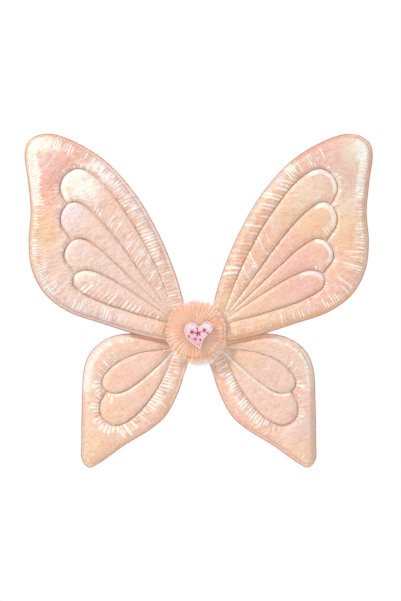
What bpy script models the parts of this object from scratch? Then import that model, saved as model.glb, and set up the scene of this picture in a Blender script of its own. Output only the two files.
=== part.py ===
"""Padded fairy wings for a child: four quilted satin wings on bendable wire, sewn to a small yoke
with a tulle rosette, a heart badge and two elastic arm loops.

Metres, +Z up.  The wings lie in the XZ plane and the rosette side faces -Y.  The origin is the
centre of the back pad's rear face, which rests against the wearer's back and faces +Y.
"""
from math import cos, pi, radians, sin

import bmesh
import bpy
import numpy as np
from mathutils import Matrix, Vector
from mathutils.geometry import delaunay_2d_cdt

MM = 0.001
GAP = 0.3 * MM                  # clearance between pieces that touch on the real object

# Wing build, shared by all four wings
FOLD_X = 46.5 * MM              # the wings fold on this line, at the rosette's rim
UPPER_FOLD_GAP = 0.9 * MM       # from the fold line to the padding on each side of it
LOWER_FOLD_GAP = 2.0 * MM       # wider, because the lower wings lie behind the fold axis
UPPER_MID_Y = -17.5 * MM        # seam plane of the upper wings, which lie in front
LOWER_MID_Y = -9.5 * MM         # seam plane of the lower wings
SKIN = 0.6 * MM                 # satin with its bonded backing
SEAM_GAP = 0.2 * MM             # half the gap between the front and the back skin at the edge
FRONT_CROWN = 10 * MM           # how far the padding swells in front of the seam plane
BACK_CROWN = 6 * MM
CROWN_REACH = 30 * MM           # distance from the edge at which the padding is at full height
RIM = 5 * MM                    # edge channel that the wire runs in
EDGE_STEP = 12 * MM             # spacing of the points along a wing's edge
GRID = 26 * MM                  # spacing of the padding's inner points
WIRE_RADIUS = 0.7 * MM
WIRE_INSET = 2.7 * MM
ROOT_FRONT_CROWN = 9 * MM
ROOT_BACK_CROWN = 5 * MM
YOKE_HALF_X = 19.5 * MM
ROOT_GAP = 1.5 * MM             # between an upper wing's root and the lower one's below it

# Right-hand wing outlines as (x, z) in millimetres from the middle of the back pad
UPPER_EDGE = [(22, 44), (35, 88), (62, 152), (98, 212), (142, 259), (190, 287.5), (222, 297.3),
              (243, 294.5), (256.5, 283.5), (261, 268), (256, 225), (252, 180), (255.2, 135),
              (250.5, 94), (231, 57), (196, 30.5), (145, 12.5), (85, -6), (20, -19)]
LOWER_EDGE = [(20, -17), (66, -8), (106, -2.5), (138, -10), (162, -30), (172.5, -55),
              (175.5, -100), (176.5, -165), (175.5, -193), (165, -204), (151, -198.5),
              (112, -171), (72, -146.5), (50, -127), (31.5, -93), (20.5, -61), (14, -42)]

# Heart badge, slightly lopsided, as (x, z) in millimetres
HEART_EDGE = [(0.5, 9), (-5, 13.3), (-11.5, 15), (-18, 12.5), (-22, 4), (-20, -5), (-13, -14),
              (-5, -21), (2.5, -25.5), (5.2, -19), (8, -11), (14, -4), (20, 1.5), (21.8, 8),
              (18, 14.5), (12, 16.5), (6, 13.5)]
HEART_BORDER = 2.4 * MM

# Rosette
ROSETTE_CENTRE = Vector((-4 * MM, 0, 1.5 * MM))
ROSETTE_RADIUS = 41 * MM
ROSETTE_PLEATS = 28
PLEAT_RIPPLE = 0.8 * MM
UNDER_TULLE_DROP = 9 * MM       # how far the pale layer sits below the peach one

# Layers of the centre, as the y of each piece's rear and front
BACK_PAD_Y = (0.0, -2.5 * MM)
BAR_TACK_Y = (-2.8 * MM, -3.3 * MM)
STRAP_TAB_Y = (-3.6 * MM, -4.8 * MM)
STIFFENER_Y = (-5.1 * MM, -6.3 * MM)
SPINE_WIRE_Y = -7.6 * MM
YOKE_PAD_Y = (-8.9 * MM, -16.0 * MM)
UNDER_TULLE_Y = (-25.0 * MM, -26.0 * MM)
ROSETTE_BACK_Y = -26.3 * MM
BUTTON_Y = (-34.7 * MM, -36.6 * MM)
BADGE_BACKING_Y = (-36.9 * MM, -38.2 * MM)
BADGE_FACE_Y = (-38.5 * MM, -41.2 * MM)
BADGE_BORDER_Y = (-38.5 * MM, -41.8 * MM)

# Elastic arm loops
STRAP_WIDTH = 10 * MM
STRAP_THICKNESS = 1.2 * MM
STRAP_HINGE_X = 33 * MM         # where the elastics leave the seam beside the back pad
STRAP_TOP_Z = 31 * MM
STRAP_BOTTOM_Z = -31 * MM
STRAP_REACH = 81 * MM
STRAP_REST_ANGLE = radians(30)  # from the wing plane, towards the wearer
STRAP_FLAT_SHARE = 0.035        # share of the loop that leaves the pad flat at each end
STRAP_TWIST_SHARE = 0.13        # share of the loop over which the elastic then turns on edge
TAB_LENGTH = 16 * MM
BAR_TACK_LENGTH = 2 * MM


# ---------------------------------------------------------------- helpers
def clear_scene():
    for obj in list(bpy.data.objects):
        bpy.data.objects.remove(obj, do_unlink=True)


def material(name, colour, roughness, metallic=0.0):
    mat = bpy.data.materials.new(name)
    mat.use_nodes = True
    shader = mat.node_tree.nodes["Principled BSDF"]
    shader.inputs["Base Color"].default_value = (*colour, 1)
    shader.inputs["Roughness"].default_value = roughness
    shader.inputs["Metallic"].default_value = metallic
    return mat


def empty(name, place):
    obj = bpy.data.objects.new(name, None)
    obj.location = place
    bpy.context.collection.objects.link(obj)
    return obj


def add_mesh(name, bm, mat, parent=None, smooth_angle=40):
    """Link a bmesh modelled in world coordinates, with its origin on its parent's joint axis."""
    bmesh.ops.recalc_face_normals(bm, faces=bm.faces)
    if parent is not None:
        bmesh.ops.translate(bm, verts=bm.verts, vec=-parent.location)
    mesh = bpy.data.meshes.new(name)
    bm.to_mesh(mesh)
    bm.free()
    mesh.shade_smooth()
    mesh.set_sharp_from_angle(angle=radians(smooth_angle))
    mesh.materials.append(mat)
    obj = bpy.data.objects.new(name, mesh)
    obj.parent = parent
    bpy.context.collection.objects.link(obj)
    return obj


def smooth_curve(points, step, closed=False):
    """A centripetal Catmull-Rom curve through the points, read off every step along it."""
    pts = [np.array(p, float) for p in points]
    if closed:
        ends = [pts[-1]] + pts + [pts[0], pts[1]]
    else:
        ends = [2 * pts[0] - pts[1]] + pts + [2 * pts[-1] - pts[-2]]
    curve = []
    for a, b, c, d in zip(ends, ends[1:], ends[2:], ends[3:]):
        k0, k1, k2 = (np.linalg.norm(q - p) ** 0.5 for p, q in ((a, b), (b, c), (c, d)))
        h1 = (k0**2 * c - k1**2 * a + (2 * k0**2 + 3 * k0 * k1 + k1**2) * b) / (3 * k0 * (k0 + k1))
        h2 = (k2**2 * b - k1**2 * d + (2 * k2**2 + 3 * k2 * k1 + k1**2) * c) / (3 * k2 * (k2 + k1))
        for t in np.linspace(0, 1, 24, endpoint=False):
            curve.append((1 - t)**3 * b + 3 * (1 - t)**2 * t * h1 + 3 * (1 - t) * t**2 * h2 + t**3 * c)
    curve.append(pts[0] if closed else pts[-1])
    return resample(np.array(curve), step, closed)


def resample(curve, step, closed=False):
    """Points evenly spaced along a line of points, near to step apart."""
    run = np.concatenate([[0], np.cumsum(np.linalg.norm(np.diff(curve, axis=0), axis=1))])
    count = max(3, round(run[-1] / step))
    at = np.linspace(0, run[-1], count + 1)
    if closed:
        at = at[:-1]
    return np.stack([np.interp(at, run, curve[:, k]) for k in range(curve.shape[1])], axis=1)


def edge_distance(point, outline):
    """Distance from a point to a closed outline."""
    a = outline
    b = np.roll(outline, -1, axis=0)
    along = np.clip(((point - a) * (b - a)).sum(1) / ((b - a)**2).sum(1), 0, 1)
    return np.linalg.norm(a + along[:, None] * (b - a) - point, axis=1).min()


def is_inside(point, outline):
    a = outline
    b = np.roll(outline, -1, axis=0)
    spans = (a[:, 1] > point[1]) != (b[:, 1] > point[1])
    cross = a[spans, 0] + (point[1] - a[spans, 1]) / (b[spans, 1] - a[spans, 1]) * (b - a)[spans, 0]
    return bool((cross > point[0]).sum() % 2)


def inset_points(outline, inset, closed=True):
    """The outline's points moved inwards by inset, leaving out those that a corner crowds."""
    ahead = np.roll(outline, -1, axis=0) - np.roll(outline, 1, axis=0)
    if not closed:
        ahead = np.gradient(outline, axis=0)
    normal = np.stack([ahead[:, 1], -ahead[:, 0]], axis=1)
    normal /= np.linalg.norm(normal, axis=1)[:, None]
    moved = outline + normal * inset
    if not is_inside(moved[len(moved) // 3], outline):
        moved = outline - normal * inset
    if not closed:
        return moved
    return np.array([p for p in moved if edge_distance(p, outline) > 0.97 * inset])


def swell(distance, crown, reach=CROWN_REACH):
    """Height of the padding at a distance from its edge: steep at the rim, then level."""
    share = min(distance / reach, 1.0)
    return crown * (1 - (1 - share)**2.2)**0.6


class PaddedPanel:
    """One triangulation of a wing's outline, shared by its skins and its wadding."""

    def __init__(self, outline, grid=GRID, rim=RIM):
        self.outline = outline
        self.ring = inset_points(outline, rim)
        low, high = outline.min(0), outline.max(0)
        inner = []
        rows = np.arange(low[1] + grid / 2, high[1], grid * sin(pi / 3))
        for i, z in enumerate(rows):
            for x in np.arange(low[0] + (i % 2) * grid / 2, high[0], grid):
                point = np.array([x + 0.013 * grid * (i % 3), z])
                if is_inside(point, outline) and edge_distance(point, outline) > rim + 0.4 * grid:
                    inner.append(point)
        points = np.vstack([outline, self.ring] + ([inner] if inner else []))
        n, m = len(outline), len(self.ring)
        edges = [(i, (i + 1) % n) for i in range(n)]
        edges += [(n + i, n + (i + 1) % m) for i in range(m)]
        verts, _, faces, *_ = delaunay_2d_cdt([Vector(p) for p in points], edges, [], 1, 1e-7)
        self.points = np.array([v[:] for v in verts])
        self.faces = [f for f in faces if is_inside(self.points[list(f)].mean(0), outline)]
        self.inner_faces = [f for f in self.faces if is_inside(self.points[list(f)].mean(0), self.ring)]
        self.distance = np.array([edge_distance(p, outline) for p in self.points])
        self.distance[self.distance < 1e-6] = 0

    def solid(self, faces, front, back):
        """A closed solid between two heights, each given for every point as y."""
        bm = bmesh.new()
        used = sorted({i for f in faces for i in f})
        layers = []
        for heights in (front, back):
            layers.append({i: bm.verts.new((self.points[i][0], heights[i], self.points[i][1]))
                           for i in used})
        border = {}
        for face in faces:
            for layer in layers:
                bm.faces.new([layer[i] for i in face])
            for a, b in zip(face, face[1:] + face[:1]):
                key = (min(a, b), max(a, b))
                border[key] = border.get(key, 0) + 1
        for (a, b), uses in border.items():
            if uses == 1:
                bm.faces.new([layers[0][a], layers[0][b], layers[1][b], layers[1][a]])
        return bm

    def heights(self, mid_y, crown, side, offset):
        """y of a surface on one side (-1 front, +1 back) of the seam plane."""
        return [mid_y + side * (SEAM_GAP + swell(d, crown) + offset) for d in self.distance]


def mirrored(bm, side):
    """Send a right-hand shape to the left when side is -1."""
    if side < 0:
        bmesh.ops.scale(bm, verts=bm.verts, vec=(-1, 1, 1))
        bmesh.ops.reverse_faces(bm, faces=bm.faces)
    return bm


def prism(outline, rear_y, front_y):
    """A flat piece with a closed (x, z) outline."""
    bm = bmesh.new()
    face = bm.faces.new([bm.verts.new((x, rear_y, z)) for x, z in outline])
    grown = bmesh.ops.extrude_face_region(bm, geom=[face])
    moved = [v for v in grown["geom"] if isinstance(v, bmesh.types.BMVert)]
    bmesh.ops.translate(bm, verts=moved, vec=(0, front_y - rear_y, 0))
    return bm


def lofted(rings):
    """A solid skinned over a list of rings of points, capped at both ends."""
    bm = bmesh.new()
    loops = [[bm.verts.new(p) for p in ring] for ring in rings]
    for near, far in zip(loops, loops[1:]):
        for a, b, c, d in zip(near, near[1:] + near[:1], far[1:] + far[:1], far):
            bm.faces.new((a, b, c, d))
    bm.faces.new(loops[0])
    bm.faces.new(loops[-1])
    return bm


def rounded_rectangle(half_x, half_z, radius, steps=4):
    points = []
    for sx, sz, start in ((1, 1, 0), (-1, 1, 1), (-1, -1, 2), (1, -1, 3)):
        for k in range(steps + 1):
            turn = (start + k / steps) * pi / 2
            points.append((sx * (half_x - radius) + radius * cos(turn),
                           sz * (half_z - radius) + radius * sin(turn)))
    return points


def tube(name, points, radius, mat, parent=None, cyclic=False):
    """A wire through world points, as a bevelled curve with filled ends."""
    base = parent.location if parent is not None else Vector((0, 0, 0))
    curve = bpy.data.curves.new(name, "CURVE")
    curve.dimensions = "3D"
    curve.bevel_depth = radius
    curve.bevel_resolution = 1
    curve.use_fill_caps = True
    spline = curve.splines.new("POLY")
    spline.points.add(len(points) - 1)
    for slot, point in zip(spline.points, points):
        slot.co = (*(Vector(point) - base), 1)
    spline.use_cyclic_u = cyclic
    curve.materials.append(mat)
    obj = bpy.data.objects.new(name, curve)
    obj.parent = parent
    bpy.context.collection.objects.link(obj)
    return obj


# ---------------------------------------------------------------- wings
def cut_at_fold(edge_points, step, fold_gap):
    """The part of a wing's edge outside the fold line, and the two stretches inside it."""
    curve = smooth_curve([(x * MM, z * MM) for x, z in edge_points], 1 * MM)
    outside = curve[curve[:, 0] > FOLD_X + fold_gap]
    crossing = np.where(curve[:, 0] > FOLD_X - fold_gap)[0]
    start, end = curve[:crossing[0]], curve[crossing[-1] + 1:]
    return resample(outside, step), start, end


def close_at_fold(edge, x, step):
    """Close an open edge along a straight line at the given x."""
    top, bottom = edge[0].copy(), edge[-1].copy()
    top[0] = bottom[0] = x
    line = resample(np.array([bottom, top]), step)
    return np.vstack([edge, line])


def wing(prefix, side, edge_points, mid_y, fold_gap, hinge, mats):
    edge, _, _ = cut_at_fold(edge_points, EDGE_STEP, fold_gap)
    outline = close_at_fold(edge[1:-1], FOLD_X + fold_gap, EDGE_STEP)
    panel = PaddedPanel(outline)

    front = panel.solid(panel.faces, panel.heights(mid_y, FRONT_CROWN, -1, SKIN),
                        panel.heights(mid_y, FRONT_CROWN, -1, 0))
    add_mesh(f"{prefix}_front_skin", mirrored(front, side), mats["satin"], hinge, 60)
    back = panel.solid(panel.faces, panel.heights(mid_y, BACK_CROWN, 1, SKIN),
                       panel.heights(mid_y, BACK_CROWN, 1, 0))
    add_mesh(f"{prefix}_back_skin", mirrored(back, side), mats["lining"], hinge, 60)
    fill = panel.solid(panel.inner_faces, panel.heights(mid_y, FRONT_CROWN, -1, -GAP),
                       panel.heights(mid_y, BACK_CROWN, 1, -GAP))
    add_mesh(f"{prefix}_wadding", mirrored(fill, side), mats["wadding"], hinge, 60)

    path = inset_points(edge, WIRE_INSET, closed=False)
    path = path[(path[:, 0] > FOLD_X + 3 * MM)]
    tube(f"{prefix}_wire", [(side * x, mid_y, z) for x, z in path], WIRE_RADIUS, mats["wire"], hinge)


def wing_root(prefix, side, outline, mid_y, mats):
    """The padded inner end of a wing, inside the fold line, sewn to the yoke."""
    panel = PaddedPanel(outline, grid=18 * MM)
    solid = panel.solid(panel.faces, panel.heights(mid_y, ROOT_FRONT_CROWN, -1, 0),
                        panel.heights(mid_y, ROOT_BACK_CROWN, 1, 0))
    add_mesh(f"{prefix}_root", mirrored(solid, side), mats["satin"], None, 60)


def root_outlines():
    """Right-hand root outlines of the upper and the lower wing."""
    yoke_edge = YOKE_HALF_X + GAP
    fold_edge = FOLD_X - UPPER_FOLD_GAP
    _, inner_top, inner_bottom = cut_at_fold(UPPER_EDGE, EDGE_STEP, UPPER_FOLD_GAP)
    top = resample(inner_top[inner_top[:, 0] > yoke_edge], EDGE_STEP)
    bottom = resample(inner_bottom[inner_bottom[:, 0] > yoke_edge + 2 * MM], EDGE_STEP)
    fold = resample(np.array([(fold_edge, top[-1][1]), (fold_edge, bottom[0][1])]), EDGE_STEP)
    yoke = resample(np.array([(yoke_edge, bottom[-1][1]), (yoke_edge, top[0][1])]), EDGE_STEP)
    upper = np.vstack([top[:-1], fold, bottom[1:-1], yoke[:-1]])

    fold_edge = FOLD_X - LOWER_FOLD_GAP
    _, _, lower_bottom = cut_at_fold(LOWER_EDGE, EDGE_STEP, LOWER_FOLD_GAP)
    side_edge = resample(lower_bottom, EDGE_STEP)
    in_width = (inner_bottom[:, 0] > yoke_edge) & (inner_bottom[:, 0] < fold_edge)
    under = resample(inner_bottom[in_width], EDGE_STEP)[::-1] - [0, ROOT_GAP]
    fold = resample(np.array([(fold_edge, under[-1][1]), (fold_edge, side_edge[0][1])]), EDGE_STEP)
    in_reach = side_edge[side_edge[:, 0] > yoke_edge]
    yoke = np.array([(yoke_edge, in_reach[-1][1]), (yoke_edge, under[0][1])])
    lower = np.vstack([under[:-1], fold, in_reach[1:-1], resample(yoke, EDGE_STEP)[:-1]])
    return upper, lower


# ---------------------------------------------------------------- centre
def centre_pieces(mats):
    pad = prism(rounded_rectangle(32 * MM, 40 * MM, 12 * MM), *BACK_PAD_Y)
    add_mesh("back_pad", pad, mats["felt"])
    plate = prism(rounded_rectangle(30 * MM, 34 * MM, 8 * MM), *STIFFENER_Y)
    add_mesh("stiffener_plate", plate, mats["plastic"])
    loop = [(x, SPINE_WIRE_Y, z) for x, z in rounded_rectangle(15 * MM, 30 * MM, 6 * MM)]
    tube("spine_wire", loop, 1.0 * MM, mats["wire"], cyclic=True)
    yoke = prism(rounded_rectangle(YOKE_HALF_X, 37 * MM, 7 * MM), *YOKE_PAD_Y)
    add_mesh("yoke_pad", yoke, mats["wadding"])


def rosette(mats):
    under = []
    for k in range(40):
        turn = 2 * pi * k / 40
        radius = ROSETTE_RADIUS + 2 * PLEAT_RIPPLE * cos(9 * turn)
        under.append((ROSETTE_CENTRE.x + 4 * MM + 0.93 * radius * cos(turn),
                      ROSETTE_CENTRE.z - UNDER_TULLE_DROP + radius * sin(turn)))
    add_mesh("rosette_under_tulle", prism(under, *UNDER_TULLE_Y), mats["pale_tulle"])

    rings = []
    for share, depth, ripple in ((0.12, 0, 0), (0.985, 0, 0.9), (1.0, 1.6, 1), (0.93, 3.4, 1),
                                 (0.6, 6.2, 0.4), (0.3, 8.0, 0)):
        ring = []
        for k in range(2 * ROSETTE_PLEATS):
            turn = pi * k / ROSETTE_PLEATS
            radius = share * ROSETTE_RADIUS + ripple * PLEAT_RIPPLE * cos(ROSETTE_PLEATS * turn)
            ring.append(ROSETTE_CENTRE + Vector((radius * cos(turn), ROSETTE_BACK_Y - depth * MM,
                                                 radius * sin(turn))))
        rings.append(ring)
    add_mesh("rosette_gathered_tulle", lofted(rings), mats["peach_tulle"])


def badge(mats):
    button = bmesh.new()
    bmesh.ops.create_cone(button, cap_ends=True, segments=24, radius1=11 * MM, radius2=11 * MM,
                          depth=abs(BUTTON_Y[1] - BUTTON_Y[0]))
    bmesh.ops.rotate(button, verts=button.verts, matrix=Matrix.Rotation(pi / 2, 3, "X"))
    bmesh.ops.translate(button, verts=button.verts, vec=(-2 * MM, sum(BUTTON_Y) / 2, 0))
    add_mesh("badge_button", button, mats["plastic"])

    edge = smooth_curve([(x * MM, z * MM) for x, z in HEART_EDGE], 4 * MM, closed=True)
    add_mesh("heart_backing", prism(edge, *BADGE_BACKING_Y), mats["felt"])
    panel = PaddedPanel(edge, grid=10 * MM, rim=HEART_BORDER)
    ring_faces = [f for f in panel.faces if f not in panel.inner_faces]
    rear, front = ([y] * len(panel.points) for y in BADGE_BORDER_Y)
    add_mesh("heart_border", panel.solid(ring_faces, front, rear), mats["binding"])
    face_edge = inset_points(edge, HEART_BORDER + GAP)
    add_mesh("heart_face", prism(face_edge, *BADGE_FACE_Y), mats["badge_satin"])

    star = []
    for k in range(10):
        radius = (6.0 if k % 2 == 0 else 2.8) * MM
        star.append((radius * sin(pi * k / 5) - 1 * MM, radius * cos(pi * k / 5) - 2 * MM))
    rear = BADGE_FACE_Y[1] - GAP
    add_mesh("heart_star", prism(star, rear, rear - 0.6 * MM), mats["thread"])


# ---------------------------------------------------------------- arm loops
def strap_route():
    """The loop's middle line as (outward, up), from the upper tab round to the lower one."""
    reach = STRAP_REACH
    return smooth_curve([(1 * MM, STRAP_TOP_Z), (9 * MM, STRAP_TOP_Z),
                         (0.36 * reach, STRAP_TOP_Z + 3 * MM), (0.66 * reach, STRAP_TOP_Z + 2 * MM),
                         (0.9 * reach, STRAP_TOP_Z - 14 * MM), (reach, -9 * MM),
                         (0.92 * reach, -36 * MM), (0.66 * reach, -50 * MM), (0.36 * reach, -45 * MM),
                         (9 * MM, STRAP_BOTTOM_Z), (1 * MM, STRAP_BOTTOM_Z)], 7 * MM)


def strap_loop(name, side, hinge, mat):
    """A flat elastic, sewn flat on the pad at both ends and turned on edge round the arm."""
    route = strap_route()
    outward = Vector((cos(STRAP_REST_ANGLE), sin(STRAP_REST_ANGLE), 0))
    across = Vector((-sin(STRAP_REST_ANGLE), cos(STRAP_REST_ANGLE), 0))
    up = Vector((0, 0, 1))
    rings = []
    for k, (out, height) in enumerate(route):
        share = k / (len(route) - 1)
        turned = (min(share, 1 - share) - STRAP_FLAT_SHARE) / STRAP_TWIST_SHARE
        turned = min(1, max(0, turned))
        twist = pi / 2 * turned**2 * (3 - 2 * turned)
        before, after = route[max(k - 1, 0)], route[min(k + 1, len(route) - 1)]
        along = (outward * (after[0] - before[0]) + up * (after[1] - before[1])).normalized()
        flat = along.cross(across).normalized()
        if share > 0.5:
            twist = pi - twist
        wide = flat * cos(twist) + across * sin(twist)
        thick = wide.cross(along).normalized()
        centre = outward * out + up * height
        centre.x += STRAP_HINGE_X
        centre.y += sum(STRAP_TAB_Y) / 2
        ring = []
        for w, t in ((1, 1), (-1, 1), (-1, -1), (1, -1)):
            ring.append(centre + wide * w * STRAP_WIDTH / 2 + thick * t * STRAP_THICKNESS / 2)
        rings.append(ring)
    add_mesh(name, mirrored(lofted(rings), side), mat, hinge)


def strap_tabs(mats):
    """The sewn ends of both loops, and the bar tacks that hold them."""
    half = STRAP_WIDTH / 2
    for side, hand in ((-1, "left"), (1, "right")):
        for level, z in (("upper", STRAP_TOP_Z), ("lower", STRAP_BOTTOM_Z)):
            near, far = STRAP_HINGE_X - TAB_LENGTH, STRAP_HINGE_X - 2 * GAP
            shape = [(near, z - half), (far, z - half), (far, z + half), (near, z + half)]
            tab = prism(shape, *STRAP_TAB_Y)
            add_mesh(f"{hand}_{level}_strap_tab", mirrored(tab, side), mats["elastic"])
            near = STRAP_HINGE_X - TAB_LENGTH / 2
            far = near + BAR_TACK_LENGTH
            low, high = z - half + 1 * MM, z + half - 1 * MM
            tack = prism([(near, low), (far, low), (far, high), (near, high)], *BAR_TACK_Y)
            add_mesh(f"{hand}_{level}_bar_tack", mirrored(tack, side), mats["thread"])


# ---------------------------------------------------------------- assembly
def main():
    clear_scene()
    mats = {
        "satin": material("iridescent_satin", (0.93, 0.66, 0.55), 0.32),
        "lining": material("peach_lining", (0.90, 0.68, 0.58), 0.5),
        "wadding": material("polyester_wadding", (0.93, 0.92, 0.90), 0.95),
        "wire": material("coated_wire", (0.80, 0.80, 0.82), 0.35, 0.9),
        "felt": material("cream_felt", (0.92, 0.85, 0.80), 0.9),
        "plastic": material("clear_plastic", (0.90, 0.88, 0.86), 0.3),
        "peach_tulle": material("peach_tulle", (0.95, 0.62, 0.47), 0.6),
        "pale_tulle": material("pale_tulle", (0.95, 0.90, 0.90), 0.6),
        "binding": material("pink_binding", (0.94, 0.80, 0.83), 0.35),
        "badge_satin": material("lilac_satin", (0.91, 0.68, 0.80), 0.3),
        "thread": material("raspberry_thread", (0.62, 0.14, 0.27), 0.5),
        "elastic": material("cream_elastic", (0.93, 0.87, 0.83), 0.8),
    }
    upper_root, lower_root = root_outlines()
    for side, hand in ((-1, "left"), (1, "right")):
        hinge = empty(f"{hand}_fold_axis", (side * FOLD_X, UPPER_MID_Y, 0))
        wing(f"{hand}_upper_wing", side, UPPER_EDGE, UPPER_MID_Y, UPPER_FOLD_GAP, hinge, mats)
        wing(f"{hand}_lower_wing", side, LOWER_EDGE, LOWER_MID_Y, LOWER_FOLD_GAP, hinge, mats)
        wing_root(f"{hand}_upper_wing", side, upper_root, UPPER_MID_Y, mats)
        wing_root(f"{hand}_lower_wing", side, lower_root, LOWER_MID_Y, mats)
        strap_axis = empty(f"{hand}_strap_axis", (side * STRAP_HINGE_X, sum(STRAP_TAB_Y) / 2, 0))
        strap_loop(f"{hand}_strap_loop", side, strap_axis, mats["elastic"])
    centre_pieces(mats)
    rosette(mats)
    badge(mats)
    strap_tabs(mats)


main()
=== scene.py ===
"""Looks of the padded fairy wings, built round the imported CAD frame.

Each wing is one stuffed body: a quilted front of iridescent satin, blown up by cloth simulation
between its stitched seams, and a flatter lining behind.  A tulle rosette, an embroidered heart
badge and two elastic arm loops finish the centre.  Metres, +Z up, rosette side towards -Y.
"""
from math import cos, pi, radians, sin

import bmesh
import bpy
import numpy as np
from mathutils import Matrix, Vector
from mathutils.geometry import delaunay_2d_cdt
from mathutils.kdtree import KDTree


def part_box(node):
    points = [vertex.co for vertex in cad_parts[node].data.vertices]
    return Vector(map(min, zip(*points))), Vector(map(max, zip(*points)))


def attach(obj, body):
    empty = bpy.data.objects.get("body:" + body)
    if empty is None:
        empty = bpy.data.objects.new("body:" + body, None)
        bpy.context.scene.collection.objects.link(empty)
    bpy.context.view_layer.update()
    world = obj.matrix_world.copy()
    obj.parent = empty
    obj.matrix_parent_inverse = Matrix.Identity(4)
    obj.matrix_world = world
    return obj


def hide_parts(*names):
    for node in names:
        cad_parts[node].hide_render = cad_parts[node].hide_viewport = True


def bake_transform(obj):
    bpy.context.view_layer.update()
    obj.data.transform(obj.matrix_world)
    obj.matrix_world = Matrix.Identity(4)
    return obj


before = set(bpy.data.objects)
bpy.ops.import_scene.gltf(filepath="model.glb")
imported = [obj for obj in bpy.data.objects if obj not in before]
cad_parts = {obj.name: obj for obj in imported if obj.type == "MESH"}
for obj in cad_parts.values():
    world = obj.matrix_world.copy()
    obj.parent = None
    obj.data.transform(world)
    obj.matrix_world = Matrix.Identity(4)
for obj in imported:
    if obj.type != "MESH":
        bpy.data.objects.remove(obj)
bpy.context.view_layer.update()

MM = 0.001

# ---------------------------------------------------------------- sizes, in millimetres
# Right-hand outlines and quilting lines as (x, z) from the middle of the back pad
UPPER_EDGE = [(22, 44), (35, 88), (62, 152), (98, 212), (142, 259), (190, 287.5), (222, 297.3),
              (243, 294.5), (256.5, 283.5), (261, 268), (256, 225), (252, 180), (255.2, 135),
              (250.5, 94), (231, 57), (196, 30.5), (145, 12.5), (85, -6), (20, -19)]
UPPER_SEAMS = {
    "lobe1": [(34, 18), (43, 44), (65, 100), (105, 172), (151, 229.5), (182, 245), (202, 233),
              (208, 214), (199, 193)],
    "lobe2": [(34, 16), (45, 32), (80, 80), (131, 149), (167, 186), (188, 195.5), (204, 183),
              (207, 163), (192.5, 139)],
    "lobe3": [(34, 14.5), (46, 27), (70, 50), (119, 97), (155, 129), (179, 140.5), (197, 130),
              (202, 112), (188, 90.5)],
    "lobe4": [(34, 13), (48, 24), (90, 53), (140, 83.5), (170, 93), (187, 85), (187, 69),
              (160, 50.5), (100, 29), (48, 14), (34, 9)]}
LOWER_EDGE = [(20, -17), (66, -8), (106, -2.5), (138, -10), (162, -30), (172.5, -55),
              (175.5, -100), (176.5, -165), (175.5, -193), (165, -204), (151, -198.5),
              (112, -171), (72, -146.5), (50, -127), (31.5, -93), (20.5, -61), (14, -42)]
LOWER_SEAMS = {
    "leafA": [(30, -20), (42, -24.5), (90, -32), (127, -49), (146, -74), (140, -88), (122, -92),
              (100, -82), (60, -48.5), (38, -28), (30, -22)],
    "leafB": [(138.5, -89), (148, -107), (146, -128), (127, -140.5), (102.5, -131), (70, -96),
              (47, -55), (36.5, -31), (30, -22)]}
WEAVE_STEP = 2.0                # spacing of the front skin's points
LINING_STEP = 3.2               # the same for the back skin
ON_A_LINE = 0.05                # a point this near to a line or to the rim belongs to it
PIPING = 5.5                    # width of the rolled edge that the wire runs in
PIPING_HEIGHT = 2.6             # how far the roll stands out from the seam plane
PIPING_SEAM = 2.0               # height of the stitched line beside it
SEAM_HEIGHT = 1.1               # half the thickness left where a quilting line pulls in
SEAM_EASE = 2.6                 # rounds the cloth down into each sewn line
SEAM_DIP = 0.75                 # share of the swell that is lost right at a seam
FRONT_CROWN = 10.5              # greatest swell of the front
LINING_CROWN = 5.0              # and of the lining
ROOT_START, ROOT_END = 36, 62   # the wing swells less at its root, beneath the rosette
ROOT_SWELL = 0.45
GATHER_DEPTH = 1.7              # deepens every gather alike
LINING_GATHERS = 0.55           # the lining puckers this much as deep as the front
FINE_PITCH = 5.0                # closer gathers than this are raised after the simulation
MESH_SHARE = 0.577              # evens out the padding's push over the spacing of the points
SOLVER_ROUNDS = 260
SIMULATION_FRAMES = 14
SIMULATION_REACH = 3.5          # how far a point may move while the padding fills
STITCH_PITCH = 3.0
STITCH_SIZE = (1.15, 0.20, 0.24)
STITCHES_FROM = 30              # nearer to the middle the seams are under the rosette
FRONT_LIFT, BACK_LIFT = -0.12, 0.05
TUFT = 5 * MM                   # bare middle of the rosette's ruffles
HEART_EDGE = [(0.5, 9), (-5, 13.3), (-11.5, 15), (-18, 12.5), (-22, 4), (-20, -5), (-13, -14),
              (-5, -21), (2.5, -25.5), (5.2, -19), (8, -11), (14, -4), (20, 1.5), (21.8, 8),
              (18, 14.5), (12, 16.5), (6, 13.5)]
# Embroidered stars: (x, z) on the heart, length of a ray and turn in radians
STARS = [(0, 0, 5.6, 0.2), (-9.0, 1.8, 4.2, 0.5), (9.2, 4.4, 4.2, -0.1), (-4.2, -8.6, 2.8, 0.3),
         (3.4, -9.8, 2.2, 0.7), (-13.6, -4.4, 2.2, 0.1), (14.4, 0.0, 2.0, 0.4), (-1.4, 7.4, 2.0, 0.9)]
STRAP_TILT = radians(30)        # the arm loops stand out backwards from the line of the wings
STRAP_OUT = 81                  # furthest reach of a loop from where it leaves the pad
STRAP_ROOT = Vector((33, -4.2, 0))
STRAP_STEP = 1.6
STRAP_WIDTH, STRAP_THICKNESS = 10, 1.2
TWIST_START, TWIST_END = 0.035, 0.165   # shares of the length over which the elastic turns on edge
ELASTIC_FACE = [(-1, 0.3), (-0.92, 0.75), (-0.7, 1), (-0.45, 0.8), (-0.2, 1), (0, 0.8), (0.2, 1),
                (0.45, 0.8), (0.7, 1), (0.92, 0.75), (1, 0.3)]
ELASTIC_SECTION = ELASTIC_FACE + [(w, -t) for w, t in reversed(ELASTIC_FACE)]
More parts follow.
